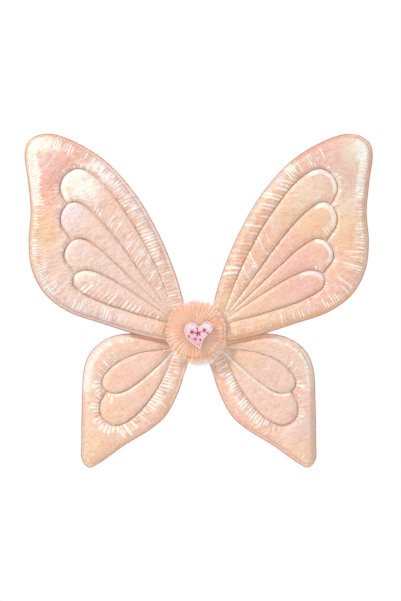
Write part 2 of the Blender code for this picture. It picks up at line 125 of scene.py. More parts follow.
PAD_CORNER = 12 * MM

# The studio, in metres
FLOOR = -0.6
AIM = (0, 0, 0.04)              # where the lights point
CAMERA_DISTANCE = 3.0
VIEW_MIDDLE = (0.0027, -0.0175, 0.0472)
VIEW_HEIGHT = 0.9015            # how much of the plane of the wings the frame's height takes in

random = np.random.default_rng(20)


# ---------------------------------------------------------------- shader helper
def tone(red, green, blue):
    """A colour given as on a dyer's card, 0 to 255, as linear light."""
    share = np.array([red, green, blue]) / 255
    light = np.where(share <= 0.04045, share / 12.92, ((share + 0.055) / 1.055) ** 2.4)
    return tuple(float(v) for v in light)


class Sock:
    """A node's output that takes part in Python sums."""

    def __init__(self, tree, output):
        self.tree = tree
        self.output = output

    def math(self, operation, *others):
        return self.tree.add("ShaderNodeMath", {"operation": operation}, [self, *others])

    def __add__(self, other):
        return self.math("ADD", other)

    def __sub__(self, other):
        return self.math("SUBTRACT", other)

    def __mul__(self, other):
        return self.math("MULTIPLY", other)

    def __rsub__(self, other):
        return self.tree.add("ShaderNodeMath", {"operation": "SUBTRACT"}, [other, self])

    __radd__ = __add__
    __rmul__ = __mul__


class Shader:
    """A material's node tree, built up one node at a time."""

    def __init__(self, name):
        self.material = bpy.data.materials.new(name)
        self.material.use_nodes = True
        self.nodes = self.material.node_tree.nodes
        self.links = self.material.node_tree.links
        self.surface = self.nodes["Principled BSDF"]

    def add(self, kind, settings=None, inputs=None, output=0):
        """One node: its settings first, then the value or link of each input."""
        node = self.nodes.new(kind)
        for key, value in (settings or {}).items():
            setattr(node, key, value)
        pairs = inputs.items() if isinstance(inputs, dict) else enumerate(inputs or [])
        for key, value in pairs:
            self.feed(node.inputs[key], value)
        return Sock(self, node.outputs[output])

    def feed(self, socket, value):
        if isinstance(value, Sock):
            self.links.new(value.output, socket)
        elif isinstance(value, tuple) and len(value) == 3 and socket.type == "RGBA":
            socket.default_value = (*value, 1)
        else:
            socket.default_value = value

    def place(self):
        return self.add("ShaderNodeTexCoord", output="Object")

    def attribute(self, name, output="Fac"):
        return self.add("ShaderNodeAttribute", {"attribute_name": name}, output=output)

    def noise(self, scale, detail=3, roughness=0.5, vector=None):
        return self.add("ShaderNodeTexNoise", {}, {
            "Vector": vector or self.place(), "Scale": scale, "Detail": detail,
            "Roughness": roughness})

    def wave(self, direction, scale, distortion, detail=2, vector=None):
        return self.add("ShaderNodeTexWave", {"bands_direction": direction}, {
            "Vector": vector or self.place(), "Scale": scale, "Distortion": distortion,
            "Detail": detail})

    def stretched(self, length, width, turn):
        """Object coordinates for grain that runs at an angle up from the X axis."""
        return self.add("ShaderNodeMapping", {"vector_type": "TEXTURE"}, {
            "Vector": self.place(), "Scale": (length, width, width), "Rotation": (0, -turn, 0)})

    def span(self, value, low, high, to_low=0.0, to_high=1.0):
        return self.add("ShaderNodeMapRange", {}, {
            "Value": value, "From Min": low, "From Max": high, "To Min": to_low,
            "To Max": to_high})

    def mix(self, share, first, second, blend="MIX"):
        node = self.nodes.new("ShaderNodeMix")
        node.data_type = "RGBA"
        node.blend_type = blend
        self.feed(node.inputs["Factor"], share)
        self.feed(node.inputs[6], first)
        self.feed(node.inputs[7], second)
        return Sock(self, node.outputs[2])

    def tint(self, base, colour, value, none, full, strength=1, blend="MIX"):
        """The base turned towards a colour where a value goes from none to full."""
        return self.mix(self.span(value, none, full) * strength, base, colour, blend)

    def bump(self, height, strength, distance, normal=None):
        inputs = {"Height": height, "Strength": strength, "Distance": distance}
        if normal is not None:
            inputs["Normal"] = normal
        return self.add("ShaderNodeBump", {}, inputs)

    def finish(self, **values):
        """Set the surface: names with _ for spaces, and their values or links."""
        for key, value in values.items():
            self.feed(self.surface.inputs[key.replace("_", " ")], value)
        return self.material


# ---------------------------------------------------------------- lines on the cloth
def smooth_curve(points, step, closed=False):
    """A centripetal Catmull-Rom curve through the points, read off evenly near to every step."""
    pts = [np.array(p, float) for p in points]
    ends = [2 * pts[0] - pts[1]] + pts + [2 * pts[-1] - pts[-2]]
    if closed:
        ends = [pts[-1]] + pts + [pts[0], pts[1]]
    curve = []
    for a, b, c, d in zip(ends, ends[1:], ends[2:], ends[3:]):
        k0, k1, k2 = (np.linalg.norm(q - p) ** 0.5 for p, q in ((a, b), (b, c), (c, d)))
        h1 = (k0**2 * c - k1**2 * a + (2 * k0**2 + 3 * k0 * k1 + k1**2) * b) / (3 * k0 * (k0 + k1))
        h2 = (k2**2 * b - k1**2 * d + (2 * k2**2 + 3 * k2 * k1 + k1**2) * c) / (3 * k2 * (k2 + k1))
        for t in np.linspace(0, 1, 24, endpoint=False):
            curve.append((1 - t)**3 * b + 3 * (1 - t)**2 * t * h1 + 3 * (1 - t) * t**2 * h2 + t**3 * c)
    curve.append(pts[0] if closed else pts[-1])
    return resample(np.array(curve), step)


def resample(curve, step):
    run = run_along(curve)
    at = np.linspace(0, run[-1], max(3, round(run[-1] / step)) + 1)
    return np.stack([np.interp(at, run, curve[:, k]) for k in range(curve.shape[1])], axis=1)


def run_along(curve):
    return np.concatenate([[0], np.cumsum(np.linalg.norm(np.diff(curve, axis=0), axis=1))])


def inside(places, outline):
    """Which places lie inside a closed outline."""
    hit = np.zeros(len(places), bool)
    for (x1, z1), (x2, z2) in zip(outline, np.roll(outline, -1, axis=0)):
        if z1 == z2:
            continue
        spans = (z1 > places[:, 1]) != (z2 > places[:, 1])
        hit ^= spans & (places[:, 0] < x1 + (places[:, 1] - z1) / (z2 - z1) * (x2 - x1))
    return hit


def soft_step(value, low, high):
    t = np.clip((value - low) / (high - low), 0, 1)
    return t * t * (3 - 2 * t)


def window(value, low, high, ease):
    """1 between low and high, easing to 0 over a stretch on each side."""
    return soft_step(value, low - ease, low) * (1 - soft_step(value, high, high + ease))


def tree_of(places):
    """The places sorted so that the one nearest to any point is quickly found."""
    tree = KDTree(len(places))
    for i, (x, z) in enumerate(places):
        tree.insert((x, z, 0), i)
    tree.balance()
    return tree


def gap_to(tree, places):
    """Distance from each place to the nearest point of a tree."""
    return np.array([tree.find((x, z, 0))[2] for x, z in places])


def directions(curve):
    """Unit vectors along an open curve."""
    ahead = np.gradient(curve, axis=0)
    return ahead / np.linalg.norm(ahead, axis=1)[:, None]


def skin_points(places, height):
    """Points of a skin at a height behind (+) or in front of (-) the middle plane."""
    return np.stack([places[:, 0], height, places[:, 1]], axis=1)


class Line:
    """A stitched line or an edge: distance from it, run along it and the side of any place."""
    STEP = 0.7

    def __init__(self, points):
        self.curve = smooth_curve(points, self.STEP)
        self.run = run_along(self.curve)
        self.along = directions(self.curve)
        self.tree = tree_of(self.curve)

    def near(self, places):
        """Distance, run along the line, and left (+1) or right (-1) of it, for each place."""
        index = np.array([self.tree.find((x, z, 0))[1] for x, z in places])
        gap = places - self.curve[index]
        ahead = np.clip((gap * self.along[index]).sum(1), -self.STEP, self.STEP)
        gap = gap - ahead[:, None] * self.along[index]
        cross = self.along[index, 0] * gap[:, 1] - self.along[index, 1] * gap[:, 0]
        return np.linalg.norm(gap, axis=1), self.run[index] + ahead, np.where(cross >= 0, 1, -1)


# ---------------------------------------------------------------- gathers, dye, painted highlights and painted shade of each wing
# Rows of gathers: the line, its side, the stretch as shares of its length, then their pitch,
# reach and height in millimetres, how strongly their crests are painted with highlight and their hollows with
# shade, and their slant
OUT, IN = 1, -1
PUCKERS = {
    "right_upper": [
        ("edge", IN, 0.49, 0.66, 4.3, 13, 0.42, 0.9, 0), ("edge", IN, 0.655, 0.725, 5.0, 27, 0.60, 0.9, 0),
        ("edge", IN, 0.72, 0.86, 4.6, 17, 0.50, 0.8, 0), ("edge", IN, 0.86, 0.97, 6.0, 13, 0.45, 0.5, 0),
        ("edge", IN, 0.03, 0.27, 4.0, 7, 0.25, 0.3, 0), ("edge", IN, 0.275, 0.34, 4.2, 17, 0.60, 0.9, 0),
        ("lobe1", OUT, 0.14, 0.72, 6.4, 23, 0.95, 1.0, 0.45),
        ("lobe1", OUT, 0.70, 0.98, 4.0, 9, 0.35, 0.5, 0), ("lobe1", IN, 0.12, 0.48, 6.2, 20, 0.65, 0.75, 0.8),
        ("lobe2", OUT, 0.14, 0.45, 5.4, 9, 0.45, 0.6, 0.4),
        ("lobe2", IN, 0.42, 0.62, 5.5, 11, 0.35, 0.4, 0.6),
        ("lobe3", OUT, 0.30, 0.62, 5.6, 8, 0.40, 0.5, 0.4),
        ("lobe2", IN, 0.80, 0.97, 5.0, 13, 0.45, 0.8, 0.3), ("lobe2", OUT, 0.72, 0.98, 4.2, 7, 0.30, 0.5, 0),
        ("lobe3", OUT, 0.72, 0.98, 4.2, 7, 0.30, 0.5, 0), ("lobe4", OUT, 0.42, 0.62, 4.6, 8, 0.35, 0.6, 0),
        ("lobe4", OUT, 0.62, 0.90, 6.0, 9, 0.35, 0.4, 0.4)],
    "left_upper": [
        ("edge", IN, 0.47, 0.68, 4.0, 15, 0.50, 0.9, 0), ("edge", IN, 0.68, 0.86, 4.4, 20, 0.55, 0.8, 0),
        ("edge", IN, 0.86, 0.97, 5.0, 12, 0.40, 0.6, 0), ("edge", IN, 0.06, 0.27, 5.0, 12, 0.60, 0.8, 0),
        ("edge", IN, 0.26, 0.42, 4.4, 16, 0.45, 0.8, 0), ("lobe1", OUT, 0.06, 0.60, 5.2, 22, 0.80, 0.8, 0.15),
        ("lobe1", OUT, 0.68, 0.98, 4.0, 8, 0.35, 0.6, 0), ("lobe1", IN, 0.16, 0.44, 5.4, 13, 0.50, 0.6, 0.5),
        ("lobe2", OUT, 0.20, 0.66, 5.2, 22, 0.65, 0.8, -0.3),
        ("lobe2", OUT, 0.74, 0.98, 4.0, 7, 0.25, 0.5, 0), ("lobe4", IN, 0.56, 0.92, 6.6, 24, 0.85, 1.0, -0.5),
        ("lobe4", OUT, 0.42, 0.64, 4.4, 8, 0.30, 0.5, 0), ("lobe3", OUT, 0.70, 0.98, 4.4, 7, 0.25, 0.5, 0)],
    "right_lower": [
        ("leafB", OUT, 0.34, 0.97, 4.7, 17, 0.95, 1.0, 0.15),
        ("leafB", OUT, 0.04, 0.34, 4.4, 10, 0.45, 0.5, 0.2),
        ("leafA", OUT, 0.36, 0.54, 4.2, 13, 0.50, 0.8, 0), ("edge", IN, 0.16, 0.40, 3.8, 6, 0.25, 0.5, 0),
        ("edge", IN, 0.62, 0.95, 5.6, 9, 0.45, 0.3, 0.3)],
    "left_lower": [
        ("leafB", OUT, 0.34, 0.97, 5.1, 18, 1.00, 1.0, -0.2),
        ("leafB", OUT, 0.04, 0.34, 4.6, 14, 0.60, 0.9, 0), ("leafA", OUT, 0.34, 0.56, 4.2, 14, 0.60, 0.9, 0),
        ("edge", IN, 0.14, 0.40, 3.8, 8, 0.30, 0.6, 0), ("edge", IN, 0.62, 0.95, 6.0, 9, 0.45, 0.3, -0.2)]}

# The satin's shot colours, and the colours of its painted highlights and painted shade
PEACH = tone(247, 205, 176)
PALE_PEACH = tone(250, 234, 220)
DEEP_PEACH = tone(247, 190, 155)
ORANGE = tone(246, 190, 135)
GOLD = tone(240, 196, 140)
CORAL = tone(244, 158, 136)
ROSE = tone(246, 180, 165)
MAUVE = tone(226, 180, 176)
BLUSH = tone(238, 208, 198)
# Cream and pearl washed onto the wings add painted highlight rather than colour
CREAM_HIGHLIGHT = tone(248, 228, 206)
PEARL = tone(255, 252, 246)
LILAC = tone(240, 228, 240)
MINT = tone(240, 240, 212)
GLINT = tone(250, 246, 224)
SHADE = tone(214, 140, 108)
# painted shade along the outline, where the rolled edge turns away
RIM_SHADE = tone(172, 112, 98)
# painted shadow in the grooves of the sewn lines
SEAM_SHADOW = tone(200, 138, 112)
# painted shade in the hollows of the fine creases
CREASE_SHADE = tone(240, 196, 176)

# Soft clouds of colour: (x, z) in millimetres, radius, colour and strength; the pearl and cream ones are
# painted highlights, not colour
CLOUDS = {
    "right_upper": [
        ((40, 60), 45, GOLD, 0.9), ((95, 190), 50, GOLD, 0.5), ((120, 110), 70, DEEP_PEACH, 0.9),
        ((140, 180), 40, GOLD, 0.45), ((160, 205), 28, MINT, 0.45), ((150, 110), 40, ROSE, 0.85),
        ((155, 72), 36, ROSE, 0.9), ((178, 160), 26, ORANGE, 0.8), ((228, 150), 26, GOLD, 0.85),
        ((222, 120), 28, ORANGE, 0.6), ((232, 190), 24, MINT, 0.45), ((205, 258), 38, MAUVE, 0.8),
        ((222, 225), 26, MAUVE, 0.5), ((170, 272), 34, CORAL, 0.35), ((215, 82), 32, DEEP_PEACH, 0.8),
        ((205, 60), 30, ROSE, 0.5), ((70, 20), 36, ORANGE, 0.5), ((120, 20), 30, PEACH, 0.5),
        ((240, 272), 22, MINT, 0.95), ((243, 268), 11, PEARL, 0.7), ((100, 50), 30, DEEP_PEACH, 0.6),
        ((136, 243), 10, PEARL, 0.6), ((122, 226), 9, LILAC, 0.8)],
    "left_upper": [
        ((120, 110), 90, BLUSH, 0.95), ((50, 60), 50, BLUSH, 0.6), ((216, 226), 36, CORAL, 0.95),
        ((212, 195), 26, CORAL, 0.6), ((190, 262), 28, CORAL, 0.75), ((222, 250), 18, MAUVE, 0.8),
        ((228, 160), 30, ORANGE, 0.85), ((235, 135), 24, GOLD, 0.6), ((150, 240), 26, ORANGE, 0.55),
        ((120, 208), 20, ORANGE, 0.45), ((182, 222), 26, PEARL, 0.95), ((160, 212), 20, PEARL, 0.5),
        ((190, 178), 22, LILAC, 0.85), ((180, 125), 22, BLUSH, 0.8), ((172, 82), 18, MINT, 0.6),
        ((232, 276), 14, CREAM_HIGHLIGHT, 0.6), ((248, 240), 12, PEARL, 0.5), ((215, 70), 40, BLUSH, 0.8),
        ((80, 14), 34, PEACH, 0.8), ((45, 8), 24, ORANGE, 0.6), ((130, 235), 20, LILAC, 0.6),
        ((182, 197), 12, ORANGE, 0.6), ((150, 249), 9, PEARL, 0.9), ((138, 232), 8, PEARL, 0.8),
        ((126, 212), 9, LILAC, 0.9)],
    "right_lower": [
        ((100, -90), 110, BLUSH, 0.55), ((60, -22), 34, ORANGE, 0.65), ((120, -20), 30, PEACH, 0.6),
        ((110, -65), 26, MAUVE, 0.35), ((115, -112), 32, DEEP_PEACH, 0.35), ((160, -60), 30, BLUSH, 0.7),
        ((168, -180), 16, GOLD, 0.55), ((160, -140), 34, MAUVE, 0.35), ((60, -45), 18, ORANGE, 0.5)],
    "left_lower": [
        ((100, -90), 110, PEACH, 0.8), ((105, -62), 30, ROSE, 0.55), ((115, -115), 30, GOLD, 0.55),
        ((85, -95), 26, ROSE, 0.35), ((130, -165), 30, ORANGE, 0.6), ((165, -180), 26, GOLD, 0.7),
        ((100, -22), 34, PEACH, 0.7), ((165, -60), 24, CREAM_HIGHLIGHT, 0.6), ((55, -28), 22, ROSE, 0.5)]}

# Bands of colour beside a line: line, side, stretch, nearest and furthest, colour and strength; the pearl and
# cream ones are painted highlights beside the seams, at the lobe tips and inside the rim
BANDS = {
    "right_upper": [
        ("edge", IN, 0.28, 0.47, 1, 5, CORAL, 0.45), ("edge", IN, 0.47, 0.56, 1, 5, CORAL, 0.4),
        ("edge", IN, 0.56, 0.75, 1, 5, PEACH, 0.5), ("edge", IN, 0.74, 0.95, 1, 9, ORANGE, 0.9),
        ("edge", IN, 0.00, 0.28, 1, 5, CREAM_HIGHLIGHT, 0.4), ("edge", IN, 0.44, 0.53, 9, 17, PEARL, 0.85),
        ("edge", IN, 0.50, 0.62, 8, 12, PEARL, 0.40), ("edge", IN, 0.60, 0.76, 6, 10, PEARL, 0.30),
        ("lobe1", IN, 0.76, 0.94, 1.5, 6, PEARL, 0.9), ("lobe2", IN, 0.74, 0.94, 1.5, 7, PEARL, 0.95),
        ("lobe3", IN, 0.74, 0.93, 1.5, 6, PEARL, 0.95), ("lobe4", IN, 0.41, 0.50, 1.5, 6, PEARL, 0.85),
        ("lobe1", OUT, 0.84, 0.99, 1, 5, CREAM_HIGHLIGHT, 0.7), ("lobe2", OUT, 0.86, 0.99, 1, 4, CREAM_HIGHLIGHT, 0.6),
        ("lobe1", IN, 0.03, 0.5, 0.8, 3, CREAM_HIGHLIGHT, 0.6), ("lobe2", IN, 0.05, 0.55, 0.8, 2.6, CREAM_HIGHLIGHT, 0.5),
        ("lobe3", IN, 0.05, 0.6, 0.8, 2.4, CREAM_HIGHLIGHT, 0.45), ("lobe4", IN, 0.05, 0.38, 0.8, 2.4, CREAM_HIGHLIGHT, 0.4)],
    "left_upper": [
        ("edge", IN, 0.28, 0.46, 1, 5, CORAL, 0.45), ("edge", IN, 0.45, 0.72, 0.5, 5, GOLD, 0.4),
        ("edge", IN, 0.72, 0.95, 1, 7, MAUVE, 0.55), ("edge", IN, 0.42, 0.54, 7, 15, PEARL, 0.85),
        ("edge", IN, 0.54, 0.72, 6, 11, PEARL, 0.50), ("edge", IN, 0.34, 0.42, 10, 22, CREAM_HIGHLIGHT, 0.35),
        ("edge", IN, 0.74, 0.92, 8, 18, LILAC, 0.5), ("edge", IN, 0.90, 0.97, 8, 15, ORANGE, 0.4),
        ("lobe1", OUT, 0.20, 0.74, 1, 6, ORANGE, 0.45), ("edge", IN, 0.18, 0.30, 7, 16, LILAC, 0.7),
        ("lobe3", OUT, 0.40, 0.74, 0.8, 5, ORANGE, 0.35), ("lobe1", IN, 0.03, 0.5, 0.8, 3, CREAM_HIGHLIGHT, 0.6),
        ("lobe1", IN, 0.78, 0.97, 1, 7, PEARL, 0.9), ("lobe2", IN, 0.76, 0.95, 1, 6, LILAC, 0.9),
        ("lobe3", IN, 0.76, 0.95, 1, 5, CREAM_HIGHLIGHT, 0.8), ("lobe4", IN, 0.40, 0.50, 1, 6, CREAM_HIGHLIGHT, 0.9)],
    "right_lower": [
        ("edge", IN, 0.18, 0.36, 5, 11, CREAM_HIGHLIGHT, 0.8), ("edge", IN, 0.36, 0.55, 1, 5, MAUVE, 0.4),
        ("edge", IN, 0.64, 0.97, 1, 12, DEEP_PEACH, 0.7), ("leafA", OUT, 0.08, 0.36, 0.8, 4, CREAM_HIGHLIGHT, 0.8),
        ("leafA", IN, 0.66, 0.95, 0.8, 3, CREAM_HIGHLIGHT, 0.5), ("leafB", IN, 0.0, 0.1, 1, 4, CREAM_HIGHLIGHT, 0.5),
        ("leafB", OUT, 0.40, 0.96, 2, 11, PEARL, 0.35), ("leafA", OUT, 0.56, 0.95, 0.8, 3.5, PEARL, 0.8)],
    "left_lower": [
        ("edge", IN, 0.16, 0.36, 3, 10, CREAM_HIGHLIGHT, 0.85), ("edge", IN, 0.36, 0.56, 1, 7, CREAM_HIGHLIGHT, 0.4),
        ("edge", IN, 0.64, 0.97, 1, 12, DEEP_PEACH, 0.5), ("leafA", OUT, 0.10, 0.50, 0.8, 3, CREAM_HIGHLIGHT, 0.8),
        ("leafB", OUT, 0.02, 0.34, 2, 10, PEARL, 0.45), ("leafB", OUT, 0.36, 0.96, 2, 12, PEARL, 0.4),
        ("leafA", OUT, 0.56, 0.95, 0.8, 3.5, PEARL, 0.7), ("leafB", IN, 0.30, 0.75, 1, 4, CREAM_HIGHLIGHT, 0.4)]}


# ---------------------------------------------------------------- padded wings
class Quilt:
    """The flat pattern of one skin: its points, triangles and the lines it is sewn along."""

    def __init__(self, edge, seams, step):
        self.lines = {"edge": Line(edge), **{name: Line(points) for name, points in seams.items()}}
        # both skins have the same points on the rim, where they are joined
        border = resample(self.lines["edge"].curve, WEAVE_STEP)
        gap = np.linalg.norm(border[0] - border[-1])
        root = np.linspace(border[-1], border[0], max(3, round(gap / WEAVE_STEP)) + 1)[1:-1]
        self.border = np.vstack([border, root])
        piping = self.piping_line(border, step)
        sewn = [resample(self.lines[name].curve, step) for name in seams] + [piping]
        rows = [self.parallel(border, gap) for gap in (0.5, 1.5, 3.2)]
        places = np.vstack([*rows, self.fill(step, [*sewn, *rows])])
        count = len(self.border)
        edges = [(i, (i + 1) % count) for i in range(count)]
        for seam in sewn:
            edges += [(count + i, count + i + 1) for i in range(len(seam) - 1)]
            count += len(seam)
        everything = np.vstack([self.border, *sewn, places])
        verts, _, faces, *_ = delaunay_2d_cdt([Vector(p) for p in everything], edges, [], 1, 1e-4)
        self.places = np.array([v[:] for v in verts])
        faces = np.array([f[:] for f in faces])
        self.faces = faces[inside(self.places[faces].mean(1), self.border)]
        pairs = np.vstack([self.faces[:, [0, 1]], self.faces[:, [1, 2]], self.faces[:, [2, 0]]])
        self.pairs = np.unique(np.sort(pairs, axis=1), axis=0)
        on_seam = [self.lines[name].near(self.places)[0] < ON_A_LINE for name in seams]
        self.border_points = np.arange(len(self.places)) < len(self.border)
        self.held = self.border_points | np.any(on_seam, axis=0)
        self.held |= gap_to(tree_of(piping), self.places) < 0.02

    def piping_line(self, border, step):
        """The stitched line that closes the wire's channel, clear of the quilting lines."""
        line = self.parallel(border, PIPING, 2)
        for name in self.lines:
            if name != "edge":
                line = line[self.lines[name].near(line)[0] > 2.5]
        return resample(line, step)

    def parallel(self, border, gap, clear=1):
        """Points in from the edge by a gap, clear of the open end at the root."""
        ahead = directions(border)
        line = border + gap * np.stack([ahead[:, 1], -ahead[:, 0]], axis=1)
        off_the_root = line[:, 0] > border[0][0] + clear
        return line[(self.lines["edge"].near(line)[0] > 0.97 * gap) & off_the_root]

    def fill(self, step, sewn):
        """Points in a triangular pattern, a little uneven, clear of the sewn lines."""
        low, high = self.border.min(0), self.border.max(0)
        rows = []
        for i, z in enumerate(np.arange(low[1], high[1], step * sin(pi / 3))):
            x = np.arange(low[0] + (i % 2) * step / 2, high[0], step)
            rows.append(np.stack([x, np.full_like(x, z)], axis=1))
        places = np.vstack(rows)
        places = places + random.uniform(-0.16, 0.16, places.shape) * step
        places = places[inside(places, self.border)]
        marks = tree_of(np.vstack([self.border, *sewn]))
        return places[gap_to(marks, places) > 0.72 * step]

    def blow_up(self, crown):
        """Height of a skin filled between its seams: round over each channel, level when wide."""
        count = len(self.places)
        a, b = self.pairs.T
        span = np.linalg.norm(self.places[a] - self.places[b], axis=1)
        weight = 1 / span
        total = np.bincount(a, weight, count) + np.bincount(b, weight, count)
        area = np.zeros(count)
        corners = self.places[self.faces]
        legs = corners[:, 1:] - corners[:, :1]
        size = np.abs(legs[:, 0, 0] * legs[:, 1, 1] - legs[:, 0, 1] * legs[:, 1, 0]) / 6
        for k in range(3):
            area += np.bincount(self.faces[:, k], size, count)
        push = area / (MESH_SHARE * span.mean())
        push[self.held] = 0

        def pull(h):
            out = total * h - np.bincount(a, weight * h[b], count) - np.bincount(b, weight * h[a], count)
            return np.where(self.held, 0, out)

        level = np.zeros(count)
        left = push.copy()
        step = left.copy()
        left_size = left @ left
        for _ in range(SOLVER_ROUNDS):
            moved = pull(step)
            share = left_size / (step @ moved)
            level += share * step
            left = left - share * moved
            fresh = left @ left
            if fresh < 1e-9 * (push @ push):
                break
            step = left + fresh / left_size * step
            left_size = fresh
        round_height = np.sqrt(2 * np.maximum(level, 0))
        round_height = round_height * (1 - SEAM_DIP * np.exp(-round_height / SEAM_EASE))
        return crown * (1 - np.exp(-round_height / crown))


def base_height(quilt, places):
    """Height of the sewn lines themselves, from the rolled edge in to the lobes."""
    distance = quilt.lines["edge"].near(places)[0]
    roll = PIPING_HEIGHT * np.sqrt(np.clip(1 - (1 - distance / (PIPING / 2)) ** 2, 0, 1))
    inner = SEAM_HEIGHT + (PIPING_SEAM - SEAM_HEIGHT) * np.exp(-(distance - PIPING) / 7)
    blend = soft_step(distance, PIPING * 0.55, PIPING)
    return np.where(distance < PIPING, roll * (1 - blend) + PIPING_SEAM * blend, inner), distance


def ridges(row, near, lines, seed):
    """Height of one row of gathers, about 0, and their painted light at each place: highlight on the crests,
    shade in the hollows.
    """
    line, side, start, end, pitch, full_reach, height, painted_highlight, slant = row
    distance, run, hand = near[line]
    if line == "edge":
        distance = distance - PIPING
    total = lines[line].run[-1]
    draw = np.random.default_rng(seed)
    count = int(total / pitch) + 8
    phase = draw.normal(0, 0.28, count + 2).cumsum() * 0.35
    lengths = draw.uniform(0.6, 1.3, count + 2)
    heights = draw.uniform(0.45, 1.0, count + 2)
    wobble = draw.uniform(-0.35, 0.35, count + 2)
    place = (run + slant * distance) / pitch
    cells = np.arange(count + 2)
    place = (place + np.interp(place, cells, phase)
             + np.interp(place, cells, wobble) * distance / full_reach)
    cell = np.clip(np.floor(place), 0, count).astype(int)
    reach = full_reach * lengths[cell]
    rise = soft_step(distance, 0.0, 1.8)
    long = rise * (1 - soft_step(distance, 0.5 * reach, 1.15 * reach))
    mean = rise * (1 - soft_step(distance, 0.4 * full_reach, full_reach))
    wave = np.abs(np.sin(pi * place)) * heights[cell] ** 1.3
    where = window(run / total, start, end, 0.03) * (hand == side)
    # painted highlight on the crests, painted shade where the gathers sink below their mean
    painted_light = (2.9 * wave**1.5 * long - 0.95 * mean) * where * painted_highlight
    return (wave ** 0.75 * long - 0.35 * mean) * where * height * GATHER_DEPTH, painted_light


def gathers(name, near, lines, finest, coarsest):
    """Height of all the gathers of a wing whose pitch is in a range, and their painted highlight and shade.
    """
    height = 0
    painted_gather_light = 0
    for k, row in enumerate(PUCKERS[name]):
        pitch = row[4]
        if finest <= pitch < coarsest:
            raised, painted_light = ridges(row, near, lines, 41 + 17 * k)
            height = height + raised
            painted_gather_light = painted_gather_light + painted_light
    return height, painted_gather_light


